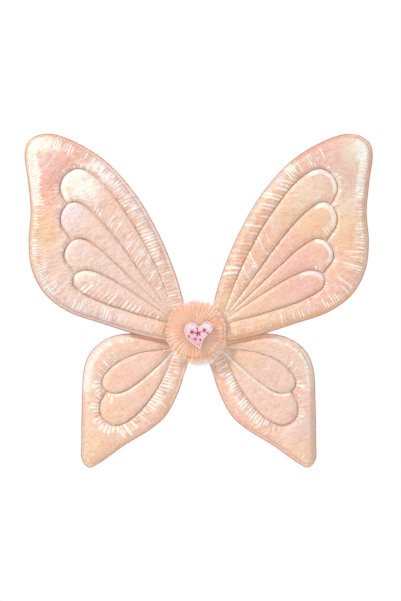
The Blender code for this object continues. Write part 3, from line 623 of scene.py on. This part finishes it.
class Wing:
    """One padded wing: quilted front and lining, worked out for the right-hand side."""

    def __init__(self, hand, part, edge, seams):
        self.hand = hand
        self.name = f"{hand}_{part}"
        self.side = 1 if hand == "right" else -1
        low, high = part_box(f"{self.name}_wing_wire")
        self.middle = (low.y + high.y) / 2 / MM
        self.front = Quilt(edge, seams, WEAVE_STEP)
        self.back = Quilt(edge, seams, LINING_STEP)
        self.lines = self.front.lines
        coarse = gathers(self.name, self.near(self.front.places), self.lines, FINE_PITCH, 99)[0]
        self.front_points = skin_points(self.front.places, -self.swell(self.front, FRONT_CROWN, coarse))
        self.back_points = skin_points(self.back.places, self.swell(self.back, LINING_CROWN, 0))

    def near(self, places):
        """What Line.near says of each place, for every line of the wing."""
        return {name: line.near(places) for name, line in self.lines.items()}

    def swell(self, quilt, crown, gathered):
        """Height of a skin: the sewn lines, the swell between them and the coarse gathers."""
        base, distance = base_height(quilt, quilt.places)
        root = soft_step(quilt.places[:, 0], ROOT_START, ROOT_END)
        level = quilt.blow_up(crown) * (ROOT_SWELL + (1 - ROOT_SWELL) * root)
        level[distance < PIPING] = 0
        height = base + level + gathered
        height[quilt.border_points] = 0
        return height

    def start_filling(self):
        """A cloth of the front skin, held along its stitches, with the padding's push behind it."""
        mesh = bpy.data.meshes.new("cloth")
        mesh.from_pydata((self.front_points * MM).tolist(), [], self.front.faces.tolist())
        self.cloth = placed("cloth", mesh)
        held = self.cloth.vertex_groups.new(name="stitched")
        sewn = self.front.held | (self.lines["edge"].near(self.front.places)[0] < PIPING)
        held.add(np.where(sewn)[0].tolist(), 1, "REPLACE")
        modifier = self.cloth.modifiers.new("filling", "CLOTH")
        cloth = modifier.settings
        cloth.quality = 4
        cloth.mass = 0.1
        cloth.tension_stiffness = cloth.compression_stiffness = 12
        cloth.shear_stiffness = 4
        cloth.bending_stiffness = 0.03
        cloth.use_pressure = True
        cloth.uniform_pressure_force = 2.0
        cloth.shrink_min = -0.012
        cloth.vertex_group_mass = "stitched"
        cloth.effector_weights.gravity = 0
        modifier.collision_settings.use_collision = False
        modifier.point_cache.frame_end = SIMULATION_FRAMES

    def take_filling(self):
        """Read the filled skin off the cloth, no point moved further than the cap."""
        graph = bpy.context.evaluated_depsgraph_get()
        mesh = self.cloth.evaluated_get(graph).data
        filled = np.zeros(len(mesh.vertices) * 3)
        mesh.vertices.foreach_get("co", filled)
        move = filled.reshape(-1, 3) / MM - self.front_points
        size = np.linalg.norm(move, axis=1, keepdims=True)
        self.front_points += move * np.minimum(1, SIMULATION_REACH / np.maximum(size, 1e-6))
        bpy.data.objects.remove(self.cloth)

    def build(self, satin, lining):
        """Join the two skins along the edge, round them off and put in the finest gathers."""
        front, back = self.front, self.back
        rim = len(front.border)
        points = np.vstack([self.front_points, self.back_points[rim:]])
        back_faces = back.faces[:, ::-1]
        back_faces = np.where(back_faces < rim, back_faces, back_faces + len(front.places) - rim)
        faces = np.vstack([front.faces, back_faces])
        if self.side < 0:
            faces = faces[:, ::-1]
        points[:, 0] *= self.side
        points[:, 1] += self.middle
        mesh = bpy.data.meshes.new(self.name)
        mesh.from_pydata((points * MM).tolist(), [], faces.tolist())
        is_back = np.arange(len(faces)) >= len(front.faces)
        mesh.polygons.foreach_set("material_index", is_back.astype(np.int32))
        mesh.polygons.foreach_set("use_smooth", np.ones(len(faces), bool))
        piece = placed(f"{self.name}_quilted_wing", mesh)
        mesh.materials.append(satin)
        mesh.materials.append(lining)
        bm = bmesh.new()
        bm.from_mesh(mesh)
        bmesh.ops.subdivide_edges(bm, edges=bm.edges, cuts=1)
        off_the_rim = [v for v in bm.verts if abs(v.co.y / MM - self.middle) > ON_A_LINE]
        for _ in range(2):
            bmesh.ops.smooth_vert(bm, verts=off_the_rim, factor=0.35, use_axis_x=True,
                                  use_axis_y=True, use_axis_z=True)
        bmesh.ops.triangulate(bm, faces=bm.faces)
        bm.to_mesh(mesh)
        bm.free()
        self.finish_cloth(piece.data)
        nodes = [f"{self.name}_wing_{part}" for part in ("front_skin", "back_skin", "wadding", "root")]
        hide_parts(*nodes)
        self.fold(piece)

    def fold(self, piece):
        """Bake the piece's placing into its mesh."""
        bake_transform(piece)

    def finish_cloth(self, mesh):
        """Raise the fine gathers and note the dye with its painted shade and light, the painted highlight and
        the sewn lines at each point.
        """
        count = len(mesh.vertices)
        points = np.zeros(count * 3)
        mesh.vertices.foreach_get("co", points)
        points = points.reshape(-1, 3)
        places = points[:, [0, 2]] / MM * [self.side, 1]
        height = self.middle - points[:, 1] / MM
        near = self.near(places)
        edge_gap = np.where(places[:, 0] < 24, 20, near["edge"][0])
        seam_gap = np.minimum.reduce([near[name][0] for name in near if name != "edge"])
        raised, painted_gather_light = gathers(self.name, near, self.lines, 0, FINE_PITCH)
        wide, wide_painted_gather_light = gathers(self.name, near, self.lines, FINE_PITCH, 99)
        points[:, 1] -= np.where(height > ON_A_LINE, raised, 0) * MM
        points[:, 1] += np.where(height < -ON_A_LINE, LINING_GATHERS * (raised + wide), 0) * MM
        mesh.vertices.foreach_set("co", points.ravel())
        colour, painted_highlight = self.dye(near, places, painted_gather_light + wide_painted_gather_light, seam_gap)
        attribute = mesh.attributes.new("dye", "FLOAT_COLOR", "POINT")
        attribute.data.foreach_set("color", np.hstack([colour, np.ones((count, 1))]).ravel())
        for name, value in (("seam_gap", seam_gap), ("edge_gap", edge_gap), ("painted_highlight", painted_highlight)):
            attribute = mesh.attributes.new(name, "FLOAT", "POINT")
            attribute.data.foreach_set("value", value.astype(np.float32))
        mesh.update()

    def dye(self, near, places, painted_gather_light, seam_gap):
        """The shot satin's colour over the wing, with painted shade in the gathers' hollows and painted light
        beside the seams, and how much painted highlight it takes.
        """
        colour = np.tile(PEACH, (len(places), 1))
        painted_highlight = np.zeros(len(places))

        def wash(shade, share):
            nonlocal colour, painted_highlight
            # pearl and cream go to the painted highlight; any other colour changes the dye
            if shade in (PEARL, CREAM_HIGHLIGHT):
                painted_highlight = painted_highlight + share * (0.95 if shade == PEARL else 0.6)
            else:
                colour = colour + (np.array(shade) - colour) * share[:, None]

        for centre, radius, shade, strength in CLOUDS[self.name]:
            gap = ((places - centre) ** 2).sum(1)
            wash(shade, strength * np.exp(-gap / radius**2))
        for name, side, start, end, first, last, shade, strength in BANDS[self.name]:
            distance, run, hand = near[name]
            ease = 0.7 * (last - first)
            share = window(run / self.lines[name].run[-1], start, end, 0.04)
            wash(shade, strength * share * window(distance, first, last, ease) * (hand == side))
        up = np.clip(painted_gather_light, 0, 1)
        valley_shade = np.clip(-painted_gather_light, 0, 1)
        wash(PALE_PEACH, np.full(len(places), 0.2))
        # painted light lifting the shade in the grooves beside the seams
        wash(PALE_PEACH, 0.5 * np.exp(-(seam_gap / 2.4) ** 2))
        # painted shade in the gathers' hollows; their crests take painted highlight
        wash(SHADE, 0.55 * valley_shade)
        painted_highlight = (np.clip(painted_highlight, 0, 1) + 0.9 * up) * (1 - 0.9 * valley_shade)
        return colour, painted_highlight

    def stitch(self, thread):
        """A row of short stitches sunk along every quilting line, in front and behind."""
        stitches = []
        for quilt, points, lift in ((self.front, self.front_points, FRONT_LIFT),
                                    (self.back, self.back_points, BACK_LIFT)):
            surface = tree_of(quilt.places)
            for name, line in self.lines.items():
                path = resample(line.curve, STITCH_PITCH) if name != "edge" else []
                for a, b in zip(path, path[1:]):
                    x, z = (a + b) / 2
                    if x < STITCHES_FROM:
                        continue
                    height = points[surface.find((x, z, 0))[1], 1] + lift
                    turn = np.arctan2(b[1] - a[1], (b[0] - a[0]) * self.side)
                    place = Vector((x * self.side, self.middle + height, z)) * MM
                    stitches.append(stitch_at(place, turn, STITCH_SIZE))
        self.fold(row_of_stitches(f"{self.name}_quilting_stitches", stitches, thread))


def placed(name, data):
    """A mesh, a light or a camera put in the scene."""
    item = bpy.data.objects.new(name, data)
    bpy.context.scene.collection.objects.link(item)
    return item


def made(bm, name, *materials):
    """A finished piece from a bmesh."""
    mesh = bpy.data.meshes.new(name)
    bm.to_mesh(mesh)
    bm.free()
    mesh.polygons.foreach_set("use_smooth", [True] * len(mesh.polygons))
    for material in materials:
        mesh.materials.append(material)
    return placed(name, mesh)


def dress(piece, material):
    """Give a piece one finish, in place of any it has."""
    piece.data.materials.clear()
    piece.data.materials.append(material)


def stitch_at(place, turn, size):
    """Where a stitch lies: its middle, its turn up from the X axis and its half sizes in mm."""
    long, thick, wide = (half * MM for half in size)
    return (Matrix.Translation(place) @ Matrix.Rotation(-turn, 4, "Y")
            @ Matrix.Diagonal((long, thick, wide, 1)))


def row_of_stitches(name, places, material, sides=6, rings=4):
    """The same plump stitch, a ball of few faces, set down many times over as one piece."""
    ball = bmesh.new()
    bmesh.ops.create_uvsphere(ball, u_segments=sides, v_segments=rings, radius=1)
    stitch = bpy.data.meshes.new("stitch")
    ball.to_mesh(stitch)
    ball.free()
    row = bmesh.new()
    for place in places:
        laid = stitch.copy()
        laid.transform(place)
        row.from_mesh(laid)
        bpy.data.meshes.remove(laid)
    piece = made(row, name, material)
    return piece


# ---------------------------------------------------------------- finishes
LINING = tone(250, 208, 184)
HEART_PINK = tone(240, 150, 178)


def darker(colour, share):
    """A share of a colour's light."""
    return tuple(share * v for v in colour)


def satin_material(name, dyed=False, sewn=False):
    """Shot satin: its dye, crushed creases with painted shade in their hollows and painted glints, painted
    shade along the rim, painted shadow in the sewn lines and a fine weave.
    """
    s = Shader(name)
    cloudy = s.noise(26, 3, 0.6)
    across = s.noise(430, 2, 0.55, s.stretched(5.0, 1.0, 0.35))
    along = s.noise(430, 2, 0.55, s.stretched(3.5, 1.0, 2.0))
    creases = across * 0.62 + along * 0.38
    grain = s.noise(1000, 2, 0.6)
    # mask of the painted glints: creases, painted highlight and noise
    glow = creases * 1.1 + s.attribute("painted_highlight") * (0.95 if dyed else 0.55)
    painted_light = glow + cloudy * 0.3 + grain * 0.25
    if dyed:
        turning = s.noise(380, 2, 0.6, s.stretched(2.2, 1.0, 0.9))
        base = s.tint(s.attribute("dye", "Color"), ROSE, s.noise(330, 2, 0.6), 0.48, 0.68, 0.35)
        base = s.tint(base, MINT, turning, 0.50, 0.68, 0.35)
        base = s.tint(base, LILAC, s.noise(70, 2, 0.5, s.stretched(1.8, 1.0, 2.2)), 0.50, 0.72, 0.25)
        # painted shade in the hollows of the fine creases
        base = s.tint(base, CREASE_SHADE, creases + grain * 0.5, 0.76, 0.62, 0.45, "MULTIPLY")
        # painted glints, pearl to lilac, where the glint mask is high
        glint = s.tint(PEARL, GLINT, s.noise(110, 2, 0.5), 0.42, 0.58)
        glint = s.tint(glint, LILAC, s.noise(60, 2, 0.5), 0.52, 0.66, 0.8)
        base = s.tint(base, glint, painted_light, 0.98, 1.62, 0.92)
        # painted shade line along the outline, where the rolled edge turns away
        base = s.tint(base, RIM_SHADE, s.attribute("edge_gap"), 2.3, 0.7, 0.85)
    else:
        base = s.tint(LINING, PALE_PEACH, cloudy, 0.35, 0.7, 0.5)
        # painted shade in the hollows of the fine creases
        base = s.tint(base, CREASE_SHADE, creases, 0.50, 0.38, 0.3, "MULTIPLY")
        # painted sheen where the glint mask is high
        base = s.tint(base, PEARL, painted_light, 1.0, 1.5, 0.7)
    if sewn:
        # painted shadow in the grooves of the sewn lines
        base = s.tint(base, SEAM_SHADOW, s.attribute("seam_gap"), 0.6, 0.1, 0.5)
    weave = s.bump(s.wave("DIAGONAL", 900, 1.5, 1) + s.wave("X", 1300, 1.0, 1), 0.10, 0.0001)
    normal = s.bump(creases, 0.85 if dyed else 0.6, 0.0022, weave)
    return s.finish(Base_Color=base, Roughness=s.span(cloudy, 0.3, 0.7, 0.3, 0.42), Normal=normal,
                    Sheen_Weight=0.2, Sheen_Roughness=0.35, Sheen_Tint=tone(255, 236, 224),
                    Coat_Weight=0.15, Coat_Roughness=0.25, Specular_IOR_Level=0.6)


def thread_material(name, colour):
    s = Shader(name)
    twist = s.wave("DIAGONAL", 1500, 1.0)
    shade = s.mix(s.noise(300, 2), colour, darker(colour, 0.8))
    return s.finish(Base_Color=shade, Roughness=0.45, Normal=s.bump(twist, 0.4, 0.00008),
                    Sheen_Weight=0.3)


def tulle_material(name, colour, deep, cover):
    """Fine six-sided net: threads round small holes, with painted shade deepening the colour where the folds
    turn away.
    """
    s = Shader(name)
    net = s.add("ShaderNodeTexVoronoi", {"feature": "DISTANCE_TO_EDGE"},
                {"Vector": s.place(), "Scale": 1100, "Randomness": 0.25})
    thread = s.span(net, 0.05, 0.22, 1, 0)
    # painted shade in the hollows of the folds
    base = s.mix(s.span(s.attribute("fold"), 0, 1, 0.25, 1), deep, colour)
    base = s.tint(base, deep, s.noise(38, 2), 0.42, 0.62, 0.5)
    base = s.tint(base, PEARL, s.noise(70, 2), 0.4, 0.7, 0.3)
    return s.finish(Base_Color=base, Roughness=0.55, Alpha=thread * (1 - cover) + cover,
                    Normal=s.bump(thread, 0.3, 0.0001), Sheen_Weight=0.4, Sheen_Roughness=0.4)


def felt_material(name, colour):
    s = Shader(name)
    tufts = s.noise(160, 3, 0.6)
    shade = s.tint(colour, darker(colour, 0.84), tufts, 0.3, 0.7, 0.35)
    return s.finish(Base_Color=shade, Roughness=0.95, Sheen_Weight=0.4, Sheen_Roughness=0.6,
                    Normal=s.bump(s.noise(900, 4, 0.7) + tufts, 0.5, 0.0004))


def elastic_material(name, colour):
    """Woven elastic: cords along the length and a tight cross weave."""
    s = Shader(name)
    flat = s.add("ShaderNodeUVMap")
    cords = s.wave("X", 3.2, 0.2, vector=flat)
    picks = s.wave("Y", 60, 0.4, vector=flat)
    shade = s.mix(cords * picks * 0.35, colour, darker(colour, 0.78))
    return s.finish(Base_Color=shade, Roughness=0.6, Normal=s.bump(cords + picks * 0.6, 0.5, 0.0003),
                    Sheen_Weight=0.25)


def hardware_material(name, colour, roughness, metallic=0.0):
    """Wire, board and plastic inside the wings: lightly brushed and marked."""
    s = Shader(name)
    grain = s.noise(700, 4, 0.6, s.stretched(6.0, 1.0, 0))
    shade = s.tint(colour, darker(colour, 0.8), grain, 0.35, 0.7, 0.4)
    return s.finish(Base_Color=shade, Metallic=metallic, Normal=s.bump(grain, 0.2, 0.0002),
                    Roughness=s.span(grain, 0.3, 0.7, roughness - 0.08, roughness + 0.1))


def glitter_material(name):
    """Satin with fine glitter set in it, pink to lilac."""
    s = Shader(name)
    cells = s.add("ShaderNodeTexVoronoi", {}, {"Vector": s.place(), "Scale": 1500}, "Color")
    flecks = s.add("ShaderNodeSeparateColor", {}, {"Color": cells}, "Red")
    height = s.add("ShaderNodeSeparateXYZ", {}, [s.place()], "Z") + s.noise(55, 2) * 0.012
    base = s.tint(HEART_PINK, tone(252, 226, 236), height, -0.012, 0.018)
    base = s.tint(base, tone(255, 250, 252), flecks, 0.62, 0.95)
    base = s.tint(base, tone(214, 120, 150), flecks, 0.2, 0.0, 0.45)
    return s.finish(Base_Color=base, Roughness=s.span(flecks, 0, 1, 0.5, 0.2), Coat_Weight=0.4,
                    Normal=s.bump(flecks, 0.4, 0.0002), Coat_Roughness=0.2)


satin = satin_material("shot satin", dyed=True, sewn=True)
lining_satin = satin_material("lining satin", sewn=True)
yoke_satin = satin_material("yoke satin")
thread = thread_material("quilting thread", tone(236, 190, 166))
berry_thread = thread_material("berry embroidery thread", tone(196, 30, 84))
cream_thread = thread_material("cream embroidery thread", tone(255, 240, 236))
coral_thread = thread_material("coral edge thread", tone(228, 140, 120))
silver_thread = thread_material("silver thread", tone(222, 208, 216))
peach_tulle = tulle_material("peach tulle", tone(255, 208, 184), tone(252, 186, 140), 0.55)
pale_tulle = tulle_material("pale tulle", tone(246, 226, 214), tone(240, 214, 200), 0.55)
felt = felt_material("cream felt", tone(244, 226, 214))
rose_felt = felt_material("rose felt", tone(214, 96, 116))
elastic = elastic_material("woven elastic", tone(252, 228, 210))
wire_steel = hardware_material("coated wire", tone(214, 208, 204), 0.4, 0.6)
plate = hardware_material("stiffener board", tone(232, 228, 220), 0.6)
button = hardware_material("button plastic", tone(238, 214, 204), 0.35)
glitter = glitter_material("pink glitter satin")

# ---------------------------------------------------------------- the four wings
wings = []
for hand in ("left", "right"):
    for part, edge, seams in (("upper", UPPER_EDGE, UPPER_SEAMS), ("lower", LOWER_EDGE, LOWER_SEAMS)):
        wings.append(Wing(hand, part, edge, seams))
for wing in wings:
    wing.start_filling()
for step in range(1, SIMULATION_FRAMES + 1):
    bpy.context.scene.frame_set(step)
for wing in wings:
    wing.take_filling()
bpy.context.scene.frame_set(1)
for wing in wings:
    wing.build(satin, lining_satin)
    wing.stitch(thread)


# ---------------------------------------------------------------- rosette of gathered tulle
def closed(values):
    """Values round a ring, with the last one the same as the first."""
    values[-1] = values[0]
    return values


def ruffle(name, node, material, radius_share, depth_share, folds, depth, seed, dish=0.0):
    """A strip of tulle gathered into a ring: spun from one radial line, then folded and dished."""
    low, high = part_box(node)
    centre = (low + high) / 2
    radius = (high.x - low.x) / 2 * radius_share
    tall = (high.z - low.z) / (high.x - low.x)
    level = low.y + (high.y - low.y) * depth_share
    bm = bmesh.new()
    rings = 16
    verts = [bm.verts.new((TUFT + (radius - TUFT) * k / rings, 0, 0)) for k in range(rings + 1)]
    edges = [bm.edges.new(pair) for pair in zip(verts, verts[1:])]
    bmesh.ops.spin(bm, geom=verts + edges, cent=(0, 0, 0), axis=(0, 1, 0), angle=2 * pi,
                   steps=folds * 10, use_merge=True)
    draw = np.random.default_rng(seed)
    angles = np.linspace(0, 2 * pi, folds + 1)
    size = closed(draw.uniform(0.55, 1.0, folds + 1))
    lean = closed(draw.uniform(-0.5, 0.5, folds + 1))
    rim = closed(draw.normal(0, 0.02, folds + 1))
    fold_shade_layer = bm.verts.layers.float.new("fold")
    for v in bm.verts:
        out = v.co.xz.length
        angle = np.arctan2(v.co.z, v.co.x) % (2 * pi)
        share = (out - TUFT) / (radius - TUFT)
        place = folds * (angle + 0.06 * share * np.interp(angle, angles, lean)
                         + 0.05 * sin(3 * angle + seed) + 0.03 * sin(8 * angle + 2 * seed))
        wave = sin(place)
        open_out = 0.35 + 0.65 * share
        strength = np.interp(angle, angles, size)
        angle = angle + 0.42 / folds * sin(2 * place) * open_out
        out *= 1 + np.interp(angle % (2 * pi), angles, rim) * share + 0.018 * wave * share**3
        rise = depth * strength * open_out * wave + dish * (1 - share) ** 1.5
        if share > 0.9:
            rise *= 1 + (share - 0.9) * 2
        # how light each point is painted: painted shade where the fold turns back
        v[fold_shade_layer] = 0.5 + 0.5 * wave * (0.4 + 0.6 * share)
        v.co = (centre.x + out * cos(angle), level - rise, centre.z + out * sin(angle) * tall)
    bmesh.ops.recalc_face_normals(bm, faces=bm.faces)
    if sum(f.normal.y for f in bm.faces) > 0:
        bmesh.ops.reverse_faces(bm, faces=bm.faces)
    area = sum(f.calc_area() for f in bm.faces)
    piece = made(bm, name, material)
    width = (radius - TUFT) * 1.04
    area / width
    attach(piece, "centre")
    return piece


top_ruffle = ruffle("rosette_top_ruffle", "rosette_gathered_tulle", peach_tulle, 0.93, 0.30, 44,
                    0.75 * MM, 5, dish=1.9 * MM)
bottom_ruffle = ruffle("rosette_bottom_ruffle", "rosette_gathered_tulle", peach_tulle, 1.07, 0.68, 38,
                       0.8 * MM, 9, dish=1.7 * MM)
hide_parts("rosette_gathered_tulle")
under = ruffle("rosette_pale_ruffle", "rosette_under_tulle", pale_tulle, 1.04, 0.5, 22, 0.8 * MM, 3)
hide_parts("rosette_under_tulle")


# ---------------------------------------------------------------- heart badge
def swept(bm, rings):
    """Carry a ring of points along a path; each ring is the last one extruded and moved."""
    verts = [bm.verts.new(p) for p in rings[0]]
    edges = [bm.edges.new((verts[i], verts[(i + 1) % len(verts)])) for i in range(len(verts))]
    first = edges
    for ring in rings[1:]:
        grown = bmesh.ops.extrude_edge_only(bm, edges=edges)["geom"]
        fresh = {v.co.to_tuple(): v for v in grown if isinstance(v, bmesh.types.BMVert)}
        verts = [fresh[v.co.to_tuple()] for v in verts]
        edges = [e for e in grown if isinstance(e, bmesh.types.BMEdge)]
        for v, p in zip(verts, ring):
            v.co = p
    return first, edges


def across_ring(curve):
    """Unit vectors across a closed curve, to its left."""
    ahead = np.roll(curve, -1, axis=0) - np.roll(curve, 1, axis=0)
    ahead /= np.linalg.norm(ahead, axis=1)[:, None]
    return np.stack([-ahead[:, 1], ahead[:, 0]], axis=1)


def heart_rope(name, gap, half_width, half_height, level, material, pitch, ripple):
    """Satin stitch round the heart: a low rope with a rib for each stitch."""
    path = smooth_curve(HEART_EDGE, 0.3, closed=True)[:-1]
    path = path + gap * across_ring(path)
    path = resample(np.vstack([path, path[:1]]), pitch / 2)[:-1]
    rings = []
    for k, (p, a) in enumerate(zip(path, across_ring(path))):
        rib = ripple * (1 if k % 2 else -1)
        ring = []
        for t in np.linspace(0, 2 * pi, 10, endpoint=False):
            w = (half_width + rib * 0.5) * cos(t)
            h = (half_height + rib) * sin(t)
            ring.append(Vector((p[0] + a[0] * w, level - h, p[1] + a[1] * w)) * MM)
        rings.append(ring)
    bm = bmesh.new()
    first, last = swept(bm, rings)
    bmesh.ops.bridge_loops(bm, edges=first + last)
    bmesh.ops.recalc_face_normals(bm, faces=bm.faces)
    return made(bm, name, material)


def soft_copy(name, node, material, voxel):
    """A CAD solid made into padding: its faces joined, remeshed finely and rounded off."""
    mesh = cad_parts[node].data.copy()
    piece = placed(name, mesh)
    bm = bmesh.new()
    bm.from_mesh(mesh)
    bmesh.ops.remove_doubles(bm, verts=bm.verts, dist=1e-6)
    bmesh.ops.recalc_face_normals(bm, faces=bm.faces)
    bm.to_mesh(mesh)
    bm.free()
    remesh = piece.modifiers.new("soft", "REMESH")
    remesh.mode = "VOXEL"
    remesh.voxel_size = voxel
    smooth = piece.modifiers.new("round", "SMOOTH")
    smooth.iterations = 6
    graph = bpy.context.evaluated_depsgraph_get()
    piece.data = bpy.data.meshes.new_from_object(piece.evaluated_get(graph))
    piece.modifiers.clear()
    piece.data.name = name
    dress(piece, material)
    piece.data.polygons.foreach_set("use_smooth", [True] * len(piece.data.polygons))
    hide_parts(node)
    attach(piece, "centre")


soft_copy("heart_padded_face", "heart_face", glitter, 0.7 * MM)
face_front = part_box("heart_face")[0].y / MM
border_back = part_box("heart_border")[1].y / MM
rope = heart_rope("heart_satin_stitch_border", 1.65, 1.2, 1.45, border_back - 1.5, cream_thread,
                  0.62, 0.09)
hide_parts("heart_border")
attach(rope, "centre")
inner_line = heart_rope("heart_silver_line", 3.5, 0.26, 0.28, face_front + 0.9, silver_thread,
                        1.0, 0.05)
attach(inner_line, "centre")


def embroidery(name, node, material):
    """A little sprig of stars in satin stitch, standing where the CAD star is."""
    low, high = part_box(node)
    centre = (low + high) / 2
    stitches = []
    for x, z, size, turn in STARS:
        for k in range(5):
            angle = turn + 2 * pi * k / 5 + pi / 2
            place = Vector((centre.x + (x + size * 0.42 * cos(angle)) * MM, high.y - 0.1 * MM,
                            centre.z + (z + size * 0.42 * sin(angle)) * MM))
            stitches.append(stitch_at(place, angle, (size * 0.55, 0.42, size * 0.17)))
    piece = row_of_stitches(name, stitches, material, 10, 6)
    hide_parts(node)
    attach(piece, "centre")


embroidery("heart_embroidered_stars", "heart_star", berry_thread)

# ---------------------------------------------------------------- back of the harness
soft_copy("back_felt_pad", "back_pad", felt, 1.1 * MM)
soft_copy("yoke_satin_pad", "yoke_pad", yoke_satin, 1.4 * MM)


def strap(hand):
    """A flat elastic, sewn flat on the pad at both ends and turned on edge round the arm."""
    side = 1 if hand == "right" else -1
    far = STRAP_OUT
    route = smooth_curve([(1, 31), (9, 31), (0.36 * far, 34), (0.66 * far, 33), (0.9 * far, 17),
                          (far, -9), (0.92 * far, -36), (0.66 * far, -50), (0.36 * far, -45),
                          (9, -31), (1, -31)], STRAP_STEP)
    outward = Vector((cos(STRAP_TILT), sin(STRAP_TILT), 0))
    across = Vector((-sin(STRAP_TILT), cos(STRAP_TILT), 0))
    up = Vector((0, 0, 1))
    rings = []
    for k, (out, height) in enumerate(route):
        share = k / (len(route) - 1)
        twist = pi / 2 * soft_step(min(share, 1 - share), TWIST_START, TWIST_END)
        if share > 0.5:
            twist = pi - twist
        before, after = route[max(k - 1, 0)], route[min(k + 1, len(route) - 1)]
        along = (outward * (after[0] - before[0]) + up * (after[1] - before[1])).normalized()
        flat = along.cross(across).normalized()
        wide = flat * cos(twist) + across * sin(twist)
        thick = wide.cross(along).normalized()
        centre = outward * out + up * height + STRAP_ROOT
        ring = []
        for w, t in ELASTIC_SECTION:
            point = centre + wide * w * STRAP_WIDTH / 2 + thick * t * STRAP_THICKNESS / 2
            ring.append(Vector((point.x * side, point.y, point.z)) * MM)
        rings.append(ring)
    bm = bmesh.new()
    first, last = swept(bm, rings)
    bmesh.ops.holes_fill(bm, edges=first + last)
    bmesh.ops.recalc_face_normals(bm, faces=bm.faces)
    uv = bm.loops.layers.uv.new("UVMap")
    count = len(ELASTIC_SECTION)
    bm.verts.ensure_lookup_table()
    for f in bm.faces:
        for loop in f.loops:
            ring, spot = divmod(loop.vert.index, count)
            loop[uv].uv = (ELASTIC_SECTION[spot][0], ring * STRAP_STEP / 10)
    piece = made(bm, f"{hand}_elastic_ribbon", elastic)
    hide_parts(f"{hand}_strap_loop")
    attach(piece, f"{hand}_strap")


for hand in ("left", "right"):
    strap(hand)


def blanket_stitch(name, node, material):
    """Overcast stitches round the rim of a pad with rounded corners."""
    low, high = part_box(node)
    centre = (low + high) / 2
    half = (high - low) / 2
    outline = []
    for cx, cz, start in ((1, 1, 0), (-1, 1, 90), (-1, -1, 180), (1, -1, 270)):
        for a in range(start, start + 91, 10):
            outline.append((centre.x + cx * (half.x - PAD_CORNER) + PAD_CORNER * cos(radians(a)),
                            centre.z + cz * (half.z - PAD_CORNER) + PAD_CORNER * sin(radians(a))))
    outline.append(outline[0])
    stitches = []
    for x, z in resample(np.array(outline), 3.6 * MM)[:-1]:
        inward = Vector((centre.x - x, 0, centre.z - z)).normalized()
        place = Vector((x, high.y + 0.02 * MM, z)) + inward * 1.9 * MM
        stitches.append(stitch_at(place, np.arctan2(inward.z, inward.x), (1.9, 0.35, 0.35)))
    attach(row_of_stitches(name, stitches, material, 8, 5), "centre")


blanket_stitch("back_pad_edge_stitches", "back_pad", coral_thread)

# CAD nodes that stay as they are get their finish here
KEPT = {"wing_wire": wire_steel, "strap_tab": elastic, "bar_tack": thread, "stiffener_plate": plate,
        "spine_wire": wire_steel, "badge_button": button, "heart_backing": rose_felt}
for name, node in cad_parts.items():
    for ending, material in KEPT.items():
        if name.endswith(ending):
            dress(node, material)

# ---------------------------------------------------------------- studio
scene = bpy.context.scene
scene.view_settings.view_transform = "Standard"
world = bpy.data.worlds.new("studio")
scene.world = world
world.use_nodes = True
tree = world.node_tree
sky = tree.nodes["Background"]
sky.inputs["Color"].default_value = (1, 0.99, 0.98, 1)
sky.inputs["Strength"].default_value = 0.52
white = tree.nodes.new("ShaderNodeBackground")
white.inputs["Color"].default_value = (1, 1, 1, 1)
path_kind = tree.nodes.new("ShaderNodeLightPath")
either = tree.nodes.new("ShaderNodeMixShader")
tree.links.new(path_kind.outputs["Is Camera Ray"], either.inputs[0])
tree.links.new(sky.outputs[0], either.inputs[1])
tree.links.new(white.outputs[0], either.inputs[2])
tree.links.new(either.outputs[0], tree.nodes["World Output"].inputs[0])


def softbox(name, place, size, power):
    """A square studio light aimed just above the middle of the wings."""
    data = bpy.data.lights.new(name, "AREA")
    data.size = size
    data.energy = power
    light = placed(name, data)
    light.location = place
    light.rotation_euler = (Vector(AIM) - Vector(place)).to_track_quat("-Z", "Y").to_euler()


softbox("key from the left", (-1.9, -1.4, 1.9), 0.8, 58)
softbox("fill from the right", (2.2, -1.8, 0.9), 1.2, 18)
softbox("light behind", (0.9, 2.2, 1.6), 1.0, 46)

ground = bmesh.new()
bmesh.ops.create_circle(ground, cap_ends=True, segments=96, radius=1.25)
floor = made(ground, "studio_floor")
floor.data.transform(Matrix.Translation((0, 0, FLOOR)))
paper = Shader("white paper")
floor.data.materials.append(paper.finish(Base_Color=(0.93, 0.92, 0.91), Roughness=0.9))

lens = bpy.data.cameras.new("camera")
lens.sensor_fit = "VERTICAL"
lens.sensor_height = 36
lens.lens = 36 * CAMERA_DISTANCE / VIEW_HEIGHT
camera = placed("camera", lens)
camera.location = (VIEW_MIDDLE[0], VIEW_MIDDLE[1] - CAMERA_DISTANCE, VIEW_MIDDLE[2])
camera.rotation_euler = (pi / 2, 0, 0)
scene.camera = camera
